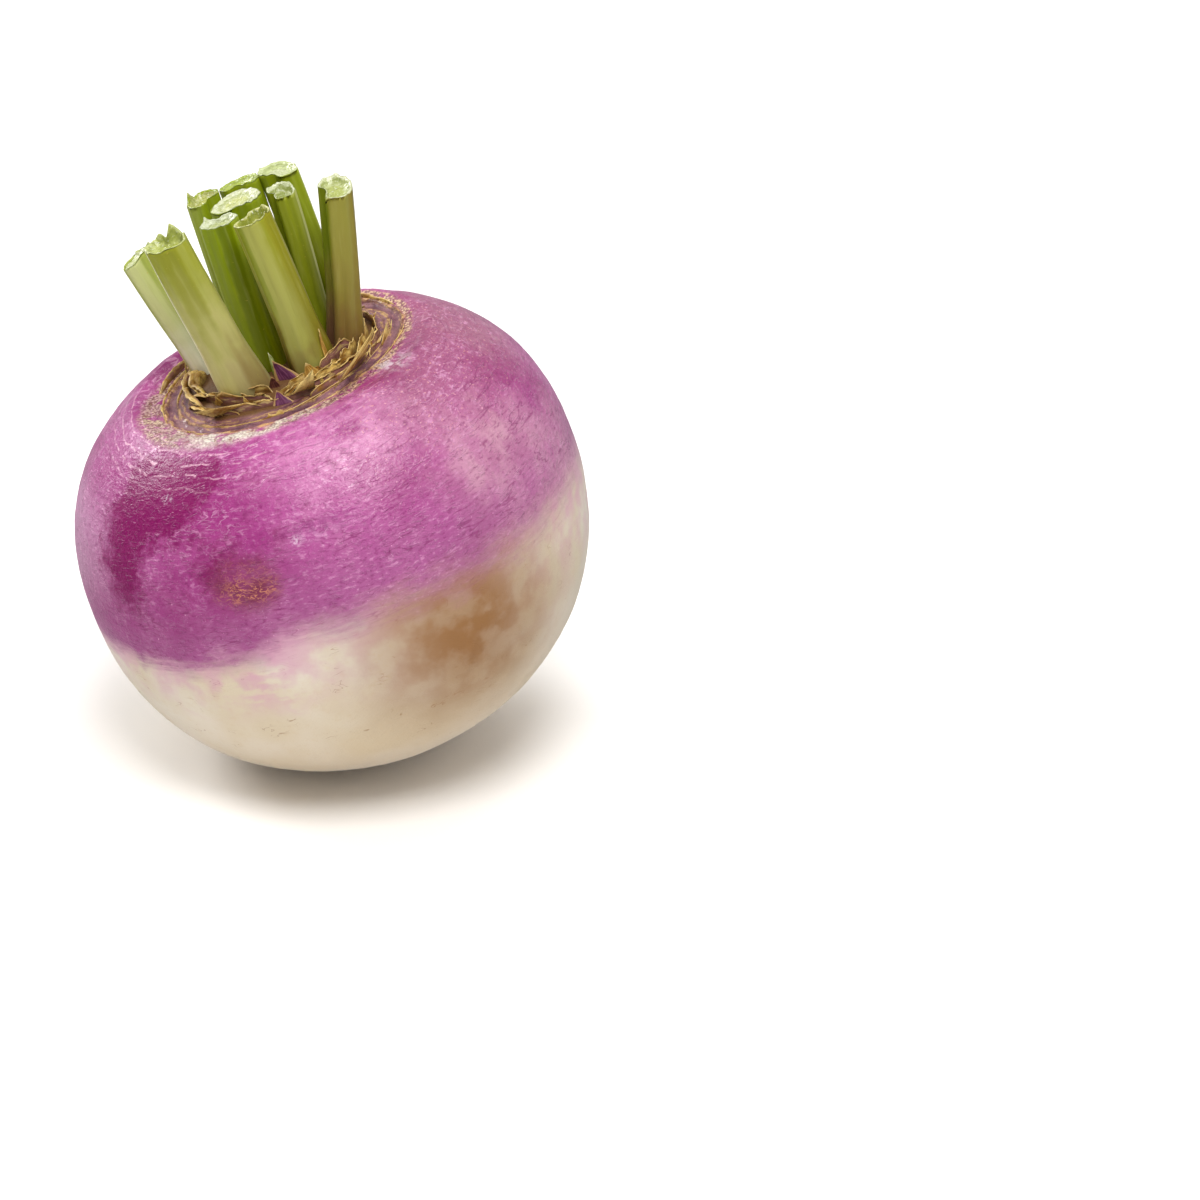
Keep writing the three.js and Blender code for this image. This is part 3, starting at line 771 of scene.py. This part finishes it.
def stalkSection(angle, halfWidth, halfDepth):  # how far a corner lies outwards and sideways
    sideways = halfWidth * math.sin(angle)
    outwards = halfDepth * math.cos(angle)
    if outwards < 0:
        channel = math.exp(-((sideways / (stalkShape["grooveWidth"] * halfWidth)) ** 2))
        outwards += 2 * halfDepth * stalkShape["grooveDepth"] * channel * -math.cos(angle)
    return outwards, sideways


def cutRise(stalk, share, angle, seed):  # how far the cut end stands above the knife's plane
    x = share * math.cos(angle)
    y = share * math.sin(angle)
    rim = smoothstep(share, 0.82, 0.96)
    rise = -stalk["dish"] * smoothstep(share, 0.95, 0.6)
    rise -= 0.1 * smoothstep(share, 0.965, 1.0)
    rise += 0.16 * hump(share, 0.7, 0.05) + 0.12 * hump(share, 0.42, 0.06)
    rise += 0.26 * roughly((x * 2, y * 2, seed), 1, seed) * rim
    rise += 0.12 * roughly((x * 7, y * 7, seed), 1, seed) + 0.09 * roughly((x * 16, y * 16, seed), 1, 2)
    for degrees, halfWidth, height in stalk["flaps"]:
        away = math.degrees(turnGap(angle, math.radians(degrees))) / halfWidth
        rise += height * max(0, 1 - away) * smoothstep(share, 0.7, 0.9)
    return rise


def makeStalk(stalk, number):
    baseX, baseY = stalk["base"]
    middleX, middleY = crown["centre"]
    outward = Vector((baseX - middleX, baseY - middleY, 0)).normalized()
    base = Vector((baseX, baseY, crownHeight(baseX, baseY)))
    top = Vector((*stalk["top"], stalk["cut"]))
    direction = (top - base).normalized()
    start = base - direction * stalkShape["rootedDepth"]
    bend = (start + top) / 2 + outward * stalkShape["bow"]
    across = direction.cross(outward).normalized()
    across.rotate(Matrix.Rotation(math.radians(stalk["turned"]), 3, direction))
    out = across.cross(direction)
    length = (top - start).length
    tilts = [math.tan(math.radians(degrees)) for degrees in stalk["tilt"]]

    profile = [(0, 0)]
    for i in range(stalkShape["steps"]):
        profile.append((1, i / stalkShape["steps"]))
    profile.extend([(1, 0.985), (1, 1)])
    profile.extend((share, 1) for share in stalkShape["capRings"])
    profile.append((0, 1))
    bm = turnedShape(profile, stalkShape["sides"])
    placeLayer = bm.verts.layers.float_vector.new("stalkPlace")
    alongLayer = bm.verts.layers.float.new("stalkAlong")
    cutLayer = bm.verts.layers.float.new("stalkCut")
    for vert in bm.verts:
        x, y, height = vert.co
        share = math.hypot(x, y)
        angle = math.atan2(y, x)
        flare = 1 + stalkShape["flare"] * (1 - smoothstep(height, 0.08, 0.4))
        ribs = math.sin(9 * angle + number) + 0.7 * math.sin(14 * angle + 2 * number + 2 * height)
        ribs += 1.6 * math.sin(4 * angle + 1.7 * number)
        swell = 2.0 * roughly((x * 1.5, y * 1.5, height * 2.5), 1, number)
        bumps = stalkShape["ribHeight"] * (ribs * share + swell) * (1 if share > 0.95 else 0.5)
        halfWidth = flare * lerp(*stalk["width"], height) / 2 + bumps
        halfDepth = flare * stalk["depth"] / 2 + bumps
        outwards, sideways = stalkSection(angle, share * halfWidth, share * halfDepth)
        point = start.lerp(bend, height).lerp(bend.lerp(top, height), height)
        point += out * outwards + across * sideways
        if height == 1:
            slant = tilts[0] * -(point.y - top.y) + tilts[1] * (point.x - top.x)
            point += direction * (slant + cutRise(stalk, share, angle, number))
        vert[placeLayer] = (x, y, height * length)
        vert[alongLayer] = height
        vert[cutLayer] = share if height == 1 else 2
        vert.co = point
    name = "".join(word.capitalize() for word in stalk["name"].split("_"))
    name = name[0].lower() + name[1:]
    return finishPiece(bm, name, stalkFinish(name + "Green", stalk), [stalk["name"]])


stalkTones = {  # screen colours that all the stalks share
    "lift": (214, 212, 142),
    "sink": (66, 74, 0),
    "foot": (124, 80, 66),
    "spots": (188, 170, 70),
    "pithPatch": (120, 134, 30),
    "innerLine": (132, 144, 70),
    "pithTear": (126, 138, 66),
    "vessel": (128, 140, 60),
    "wetSpeck": (236, 240, 222),
    "skinEdge": (96, 116, 10),
}


def stalkFinish(name, stalk):
    green = Finish(name)
    tones = {name: rgb(*tone) for name, tone in stalkTones.items()}
    place = green.attribute("stalkPlace", 1)
    along = green.attribute("stalkAlong")
    cut = green.attribute("stalkCut")
    spot = green.turnipPlace()
    fibres = green.patterned(green.stretched(place, (6, 6, 0.14)), 1, 2, 0.5)
    bands = green.patterned(green.stretched(place, (1.5, 1.5, 0.03)), 1, 1)
    mottle = green.patterned(spot, 4.0, 3)
    fine = green.patterned(spot, 0.45, 2)

    lower, middle, upper = [rgb(*colour) for colour in stalk["colours"]]
    height = along + (mottle - 0.5) * 0.3 + (bands - 0.5) * 0.4
    colour = green.mix(green.step(height, 0.12, 0.5), lower, middle)
    colour = green.mix(green.step(height, 0.5, 0.95), colour, upper)
    lift = green.mix(0.5, colour, tones["lift"])
    sink = green.mix(0.5, colour, tones["sink"])
    colour = green.mix(green.step(bands, 0.52, 0.7) * 0.22, colour, lift)
    colour = green.mix(green.step(bands, 0.47, 0.3) * 0.26, colour, sink)
    # stripes: some are the stalk's own tones, some painted highlights along edges, some painted shade on
    # darker sides
    for degrees, halfWidth, tint, strength, fade in stalk["stripes"]:
        turn = math.radians(degrees)
        match = green.vector("DOT_PRODUCT", place, (math.cos(turn), math.sin(turn), 0), out=1)
        edge = math.cos(math.radians(halfWidth * 1.6))
        match = match + (mottle - 0.5) * (1 - edge) * 0.8
        stripe = green.step(match, edge, lerp(edge, 1, 0.75)) * strength
        if fade:
            stripe = stripe * green.step(height, *((0.3, 0.7) if fade > 0 else (0.62, 0.15)))
        colour = green.mix(stripe, colour, rgb(*tint))
    colour = green.mix(green.step(fibres, 0.55, 0.75) * 0.14, colour, lift)
    colour = green.mix(green.step(fibres, 0.45, 0.28) * 0.14, colour, sink)
    foot = green.step(height, 0.34, 0.1) * green.step(bands, 0.35, 0.6) * stalk["blush"]
    colour = green.mix(foot, colour, tones["foot"])
    spots = green.step(fine, 0.7, 0.76) * green.step(mottle, 0.52, 0.6)
    colour = green.mix(spots * 0.6, colour, tones["spots"])

    # the cut end: a pale wet broken rim, a paler ring inside it, specks of cut vessels, and pale specks that
    # are partly painted glints on the wet cut
    end = green.step(cut, 1.2, 1.0)
    rimColour, pithColour, centreColour = [rgb(*tint) for tint in stalk["cutColours"]]
    patches = green.patterned(spot, 1.1, 3, 0.6)
    torn = green.patterned(green.stretched(spot, (0.7, 2.2, 0.7)), 0.9, 3, 0.6)
    ragged = cut + (patches - 0.5) * 0.26 + (torn - 0.5) * 0.2
    pith = green.mix(green.step(ragged, 0.58, 0.4), pithColour, centreColour)
    pith = green.mix(green.step(patches, 0.44, 0.3) * 0.5, pith, green.mix(0.5, pith, tones["pithPatch"]))
    pith = green.mix(green.step(patches, 0.54, 0.66) * 0.5, pith, rimColour)
    inner = 0.9 - stalk["rimWidth"]
    ring = green.hump(ragged, inner - 0.18, 0.07) * green.step(torn, 0.4, 0.6)
    pith = green.mix(ring * 0.6, pith, rimColour)
    pith = green.mix(green.hump(ragged, inner - 0.05, 0.05) * 0.5, pith, tones["innerLine"])
    pith = green.mix(green.step(torn, 0.47, 0.34) * 0.5, pith, tones["pithTear"])
    rim = green.step(ragged, inner, inner + 0.06) * (0.4 + 0.6 * green.step(patches, 0.36, 0.5))
    pith = green.mix(rim, pith, rimColour)
    vessels = green.add("TexVoronoi", None, {"Vector": spot, "Scale": 2.2})
    pith = green.mix(green.step(vessels, 0.26, 0.12) * 0.5, pith, tones["vessel"])
    pith = green.mix(green.step(fine, 0.62, 0.7) * 0.4, pith, tones["wetSpeck"])
    skinEdge = green.step(cut + (patches - 0.5) * 0.1, 0.95, 0.99)
    pith = green.mix(skinEdge * 0.7, pith, green.mix(0.4, colour, tones["skinEdge"]))
    colour = green.mix(end, colour, pith)

    roughness = 0.4 - end * 0.18 + (fibres - 0.5) * 0.1
    relief = fibres * 0.3 + bands * 0.5 + end * (fine * 1.2 + patches * 1.6 + torn * 2.2 - vessels * 0.3)
    wet = {"Coat_Weight": end * 0.6, "Coat_Roughness": 0.12}
    return green.surface(colour, roughness, relief, 0.14, Specular_IOR_Level=0.3, **wet)


for number, stalk in enumerate(stalks):
    makeStalk(stalk, number)


# What old leaves left round the crown. Wraps are low papery sheets that curve round it inside one
# another. Each has the angles it runs between, its distances from the crown's centre at both ends, its
# height, how far it leans outwards for each millimetre up, how far its rim curls over, and how mauve
# it is, from 0 to 1. Angles run from the right: -90 is the front and 180 the left.
scaleValues = {
    "thickness": 0.14,
    "rooted": 0.6,  # how far a sheet starts below the crown's surface
    "wraps": [
        (-172, -92, 14.4, 14.2, 1.9, -0.25, 0.3, 0.5),
        (-164, -112, 16.4, 16.4, 1.1, -0.25, 0.3, 0.5),
        (-128, -60, 16.0, 16.2, 1.1, -0.5, 0.3, 0.55),
        (-118, -92, 12.6, 12.0, 1.8, 0.0, 0.2, 0.1),
        (-150, -108, 13.2, 13.0, 1.8, 0.0, 0.2, 0.2),
        (-88, -34, 13.4, 13.8, 2.0, -0.35, 0.2, 0.25),
        (-84, -26, 14.6, 14.8, 1.8, -0.4, 0.25, 0.1),
        (-76, -16, 15.7, 15.9, 1.4, -0.4, 0.3, 0.5),
        (-70, -6, 16.7, 16.8, 1.0, -0.4, 0.3, 0.5),
        (-54, -14, 12.4, 13.2, 3.0, -0.1, 0.15, 0.55),
        (-40, 14, 14.0, 14.4, 2.8, -0.1, 0.1, 0.0),
        (-30, 34, 15.4, 15.8, 2.4, -0.2, 0.1, 0.2),
        (-24, 46, 16.8, 17.8, 1.8, -0.3, 0.2, 0.5),
        (8, 56, 14.6, 15.0, 2.8, 0.1, 0.3, 0.1),
        (34, 84, 16.4, 16.8, 1.8, 0.1, 0.3, 0.3),
        (48, 110, 15.0, 14.6, 2.2, 0.1, 0.3, 0.1),
        (88, 150, 16.2, 16.2, 1.6, 0.0, 0.4, 0.5),
        (110, 164, 14.4, 14.8, 2.0, 0.1, 0.3, 0.2),
        (140, 186, 16.4, 16.2, 1.8, 0.1, 0.4, 0.4),
        (158, 190, 14.2, 14.2, 2.2, 0.2, 0.5, 0.2),
        (166, 184, 12.8, 13.6, 2.4, 0.3, 0.5, 0.1),
        (176, 216, 15.8, 15.4, 1.9, 0.1, 0.5, 0.4),
        (186, 212, 13.4, 13.6, 2.2, 0.2, 0.4, 0.1),
        (200, 222, 14.8, 13.0, 2.0, 0.1, 0.5, 0.0),
        (204, 236, 16.6, 16.2, 1.4, 0.1, 0.6, 0.3),
        (130, 168, 22.4, 21.8, 1.3, 0.15, 0.2, 0.4),
    ],
    # distance from the papery line, how many, then the ranges of half turn, height and outward lean
    "paperWraps": [(0.0, 9, (0.3, 0.5), (0.3, 0.7), (0.1, 0.5)),
                   (-2.4, 8, (0.2, 0.45), (0.15, 0.35), (0.4, 1.0))],
    "tips": [
        # angle, distance out, half width, height, outward lean
        (-133, 16.6, 1.0, 1.3, 0.9), (-60, 15.6, 0.8, 1.6, 0.1), (-38, 14.4, 0.9, 2.6, 0.1),
        (-8, 16.2, 0.9, 3.2, 0.3), (20, 17.0, 0.9, 2.6, 0.4), (62, 15.6, 1.0, 2.4, 0.3),
        (100, 15.4, 1.0, 2.2, 0.3), (148, 15.6, 0.9, 2.2, 0.4), (172, 14.6, 1.0, 2.6, 0.3),
        (-158, 14.2, 0.9, 2.2, 0.4), (-110, 14.6, 0.8, 1.6, -0.1),
    ],
}
draw = random.Random(5)


def scaleLayers(bm):
    return {
        "edge": bm.verts.layers.float.new("scaleEdge"),
        "tone": bm.verts.layers.float.new("scaleTone"),
        "place": bm.verts.layers.float_vector.new("scalePlace"),
    }


def addSheet(bm, layers, columns, rows, size, tone, shape):  # shape() puts the corners in place
    sheet = bmesh.ops.create_grid(bm, x_segments=columns, y_segments=rows, size=1)
    shift = draw.uniform(0, 50)
    for vert in sheet["verts"]:
        side = vert.co.x
        up = (vert.co.y + 1) / 2
        vert[layers["edge"]] = up
        vert[layers["tone"]] = tone
        vert[layers["place"]] = (side * size[0], up * size[1], shift)
        vert.co = shape(side, up)


def thickenSheets(bm):  # closes the pointed tips, then gives every sheet its thickness
    bmesh.ops.remove_doubles(bm, verts=bm.verts, dist=1e-4)
    bmesh.ops.recalc_face_normals(bm, faces=bm.faces)
    bmesh.ops.solidify(bm, geom=list(bm.faces), thickness=scaleValues["thickness"])


def onCrown(away, angle):  # a point on the crown's surface, at a distance and angle round its centre
    x = crown["centre"][0] + away * math.cos(angle)
    y = crown["centre"][1] + away * math.sin(angle)
    return Vector((x, y, crownHeight(x, y)))


def addWrap(bm, layers, angles, radiusAt, rise, leanOut, curl, tone, seed):
    middle = (angles[0] + angles[1]) / 2
    halfTurn = (angles[1] - angles[0]) / 2
    length = halfTurn * radiusAt(middle)

    def shape(side, up):
        angle = middle + side * halfTurn
        ends = math.sqrt(max(0, 1 - abs(side) ** 3))
        along = side * length
        ragged = 1 + 0.3 * roughly((along, seed, 0), 3.6, seed) + 0.08 * roughly((along, seed, 5), 0.9, seed)
        ragged += 0.05 * roughly((along, seed, 7), 0.35, seed)
        torn = 0.3 * smoothstep(roughly((along, seed, 3), 2.2, seed + 2), 0.3, 0.6)
        high = rise * ends * (ragged - torn)
        waves = 0.3 * roughly((along, up * 1.5, seed), 3.6, seed) + 0.06 * roughly((along, up, seed), 0.9, 3)
        rolled = curl * smoothstep(up, 0.55, 1.0) * (1 + roughly((along, seed, 9), 1.6, seed))
        away = radiusAt(angle) + waves * (0.4 + 0.6 * up) + (leanOut * up + rolled) * high + 0.4 * (1 - ends)
        point = onCrown(away, angle)
        lift = math.sin(up * math.pi / 2) - 0.12 * smoothstep(up, 0.8, 1.0) * curl
        point.z += -scaleValues["rooted"] + (high + scaleValues["rooted"]) * lift
        return point
    columns = max(12, int(length * 5))
    addSheet(bm, layers, columns, 9, (length, rise), tone, shape)


def addTip(bm, layers, radius, middle, halfWidth, rise, leanOut, seed):
    def shape(side, up):
        narrow = (1 - up ** 1.4) * (1 + 0.15 * roughly((up * 4, seed, side), 1, seed))
        angle = middle + (side * halfWidth * narrow + 0.4 * up * math.sin(seed)) / radius
        curl = 0.35 * side * side * halfWidth * narrow
        waves = 0.2 * roughly((side * narrow * 2, up * 3, seed), 1)
        away = radius + leanOut * rise * up * up - curl + waves
        point = onCrown(away, angle)
        point.z += -scaleValues["rooted"] + (rise + scaleValues["rooted"]) * up
        return point
    addSheet(bm, layers, 6, 8, (halfWidth, rise), draw.uniform(0, 0.3), shape)


def makeScales(finish):
    bm = bmesh.new()
    layers = scaleLayers(bm)
    seed = 0
    for first, last, near, far, rise, leanOut, curl, tone in scaleValues["wraps"]:
        seed += 1
        angles = (math.radians(first), math.radians(last))

        def radiusAt(angle):
            return lerp(near, far, (angle - angles[0]) / (angles[1] - angles[0]))
        addWrap(bm, layers, angles, radiusAt, rise, leanOut, curl, tone, seed)
    for offset, count, halfTurn, height, leanOut in scaleValues["paperWraps"]:
        for i in range(count):
            seed += 1
            middle = (i + draw.uniform(-0.3, 0.3) + seed * 0.4) * 2 * math.pi / count
            half, rise, slant = [draw.uniform(*span) for span in (halfTurn, height, leanOut)]
            angles = (middle - half, middle + half)

            def paperAt(angle):
                return paperRadius(angle) + offset
            addWrap(bm, layers, angles, paperAt, rise, slant, 0.3, 0.3, seed)
    for degrees, radius, halfWidth, rise, leanOut in scaleValues["tips"]:
        seed += 1
        addTip(bm, layers, radius, math.radians(degrees), halfWidth, rise, leanOut, seed)
    thickenSheets(bm)
    return finishPiece(bm, "dryScales", finish, ["scale_ring"])


scaleTones = {  # screen colours of the dry scales
    "gold": (158, 112, 42),
    "goldPale": (220, 186, 104),
    "mauve": (126, 76, 84),
    "fibreDark": (98, 62, 22),
    "fibrePale": (224, 200, 126),
    "foot": (84, 52, 26),
    "rim": (226, 196, 130),
    "speck": (100, 64, 28),
}


def scaleFinish():
    dry = Finish("dryScale")
    tones = {name: rgb(*tone) for name, tone in scaleTones.items()}
    spot = dry.turnipPlace()
    place = dry.attribute("scalePlace", 1)
    edge = dry.attribute("scaleEdge")
    tone = dry.attribute("scaleTone")
    fibres = dry.patterned(dry.stretched(place, (0.3, 2.6, 1.0)), 1.0, 3, 0.6)
    fine = dry.patterned(spot, 0.4, 2)
    patches = dry.patterned(spot, 2.0, 2)
    colour = dry.mix(dry.step(patches, 0.38, 0.62), tones["gold"], tones["goldPale"])
    mauve = dry.step(tone + (patches - 0.5) * 1.0, 0.3, 0.5) * dry.step(edge, 0.86, 0.6)
    colour = dry.mix(mauve * 0.9, colour, tones["mauve"])
    colour = dry.mix(dry.step(fibres, 0.48, 0.36) * 0.6, colour, tones["fibreDark"])
    colour = dry.mix(dry.step(fibres, 0.54, 0.64) * 0.5, colour, tones["fibrePale"])
    foot = dry.step(edge + (patches - 0.5) * 0.5, 0.55, 0.15)
    colour = dry.mix(foot * 0.7, colour, tones["foot"])
    rim = dry.step(edge + (fine - 0.5) * 0.3, 0.82, 0.93)
    colour = dry.mix(rim * 0.65, colour, tones["rim"])
    colour = dry.mix(dry.step(fine, 0.58, 0.66) * 0.4, colour, tones["speck"])
    return dry.surface(colour, 0.45, fibres + fine * 0.4, 0.12, Specular_IOR_Level=0.4)


makeScales(scaleFinish())

# Bud scales, dry tips and the young shoot between the stalks. Each is a thin pointed sheet, curved
# round the way it faces. tipShift moves its point to the right, and point is how sharp it is.
budValues = {
    "columns": 14,
    "rows": 16,
    "rooted": 1,
    "buds": [
        {"name": "budScaleFront", "node": "bud_scale_front", "at": (3.9, -11.6), "facing": -100, "width": 6.0,
         "height": 3.9, "leanOut": -0.15, "tipShift": -0.36, "curl": 0.05, "point": 1.1, "tone": "purple"},
        {"name": "budScaleRight", "node": "bud_scale_right", "at": (12.4, -7.2), "facing": -50, "width": 4.4,
         "height": 3.2, "leanOut": -0.1, "tipShift": 0.15, "curl": 0.06, "point": 1.1, "tone": "purple"},
        {"name": "budScaleLow", "at": (2.6, -18.2), "facing": -92, "width": 5.4,
         "height": 2.5, "leanOut": -0.5, "tipShift": -0.12, "curl": 0.05, "point": 1.0, "tone": "purple"},
        {"name": "curledScale", "at": (0.9, -12.6), "facing": -95, "width": 2.2,
         "height": 2.3, "leanOut": 0.25, "tipShift": 0.2, "curl": 0.3, "point": 2.0, "tone": "brown"},
        {"name": "goldenTip", "at": (8.5, -13.4), "facing": -65, "width": 3.6,
         "height": 3.7, "leanOut": -0.1, "tipShift": -0.3, "curl": 0.2, "point": 2.2, "tone": "gold"},
        {"name": "goldenTipLeft", "at": (-8.8, -11.4), "facing": -125, "width": 3.0,
         "height": 2.0, "leanOut": 0.3, "tipShift": 0.2, "curl": 0.2, "point": 1.4, "tone": "gold"},
        {"name": "sheathEdge", "at": (10.4, -9.8), "facing": -35, "width": 1.1,
         "height": 6.8, "leanOut": -0.02, "tipShift": 0.3, "curl": 0.1, "point": 3.0, "tone": "gold"},
        {"name": "greenShoot", "at": (1.5, -8.8), "facing": -90, "width": 1.3,
         "height": 4.4, "leanOut": -0.1, "tipShift": -0.2, "curl": 0.3, "point": 2.4, "tone": "green"},
    ],
}


def makeBud(bud, finish, seed):
    bm = bmesh.new()
    layers = scaleLayers(bm)
    facing = math.radians(bud["facing"])
    out = Vector((math.cos(facing), math.sin(facing), 0))
    sidewise = Vector((-out.y, out.x, 0))
    foot = Vector((*bud["at"], crownHeight(*bud["at"]) - budValues["rooted"]))

    def shape(side, up):
        narrow = (1 - up ** bud["point"]) * (1 + 0.1 * roughly((up * 5, side, seed), 1))
        waves = 0.12 * roughly((side * narrow * 2, up * 4, seed + 4), 1)
        sideways = bud["width"] / 2 * (side * narrow + 2 * bud["tipShift"] * up)
        cupped = bud["curl"] * (side * narrow * bud["width"] / 2) ** 2
        outwards = -cupped + bud["leanOut"] * up * bud["height"]
        outwards += 0.3 * smoothstep(up, 0.7, 1.0) + waves
        rise = up * (bud["height"] + budValues["rooted"]) * (1 - 0.12 * side * side * narrow)
        return foot + out * outwards + sidewise * sideways + Vector((0, 0, rise))
    size = (bud["width"] / 2, bud["height"])
    addSheet(bm, layers, budValues["columns"], budValues["rows"], size, 0, shape)
    thickenSheets(bm)
    nodes = [bud["node"]] if "node" in bud else []
    return finishPiece(bm, bud["name"], finish, nodes)


def budFinish(name, darker, lighter, edgeColour):
    bud = Finish(name)
    place = bud.attribute("scalePlace", 1)
    spot = bud.turnipPlace()
    edge = bud.attribute("scaleEdge")
    across = bud.parts(place)[0]
    fibres = bud.patterned(bud.stretched(place, (3.0, 0.5, 1.0)), 1, 3)
    fine = bud.patterned(spot, 0.5, 2)
    colour = bud.mix(bud.step(fibres, 0.4, 0.65), darker, lighter)
    colour = bud.mix(bud.step(edge, 0.4, 0.1) * 0.5, colour, rgb(60, 32, 30))
    border = bud.sum("MAXIMUM", edge, bud.sum("ABSOLUTE", across) * 0.42)
    colour = bud.mix(bud.step(border + (fine - 0.5) * 0.3, 0.84, 0.98), colour, edgeColour)
    return bud.surface(colour, 0.42, fibres + fine * 0.5, 0.1, Specular_IOR_Level=0.4)


budFinishes = {
    "purple": budFinish("purpleScale", rgb(88, 34, 70), rgb(128, 72, 106), rgb(188, 150, 96)),
    "brown": budFinish("brownScale", rgb(84, 40, 40), rgb(134, 84, 70), rgb(172, 130, 84)),
    "gold": budFinish("goldenScale", rgb(160, 118, 50), rgb(202, 164, 84), rgb(222, 192, 126)),
    "green": budFinish("youngGreen", rgb(128, 142, 60), rgb(186, 194, 130), rgb(222, 222, 180)),
}
for number, bud in enumerate(budValues["buds"]):
    makeBud(bud, budFinishes[bud["tone"]], number)
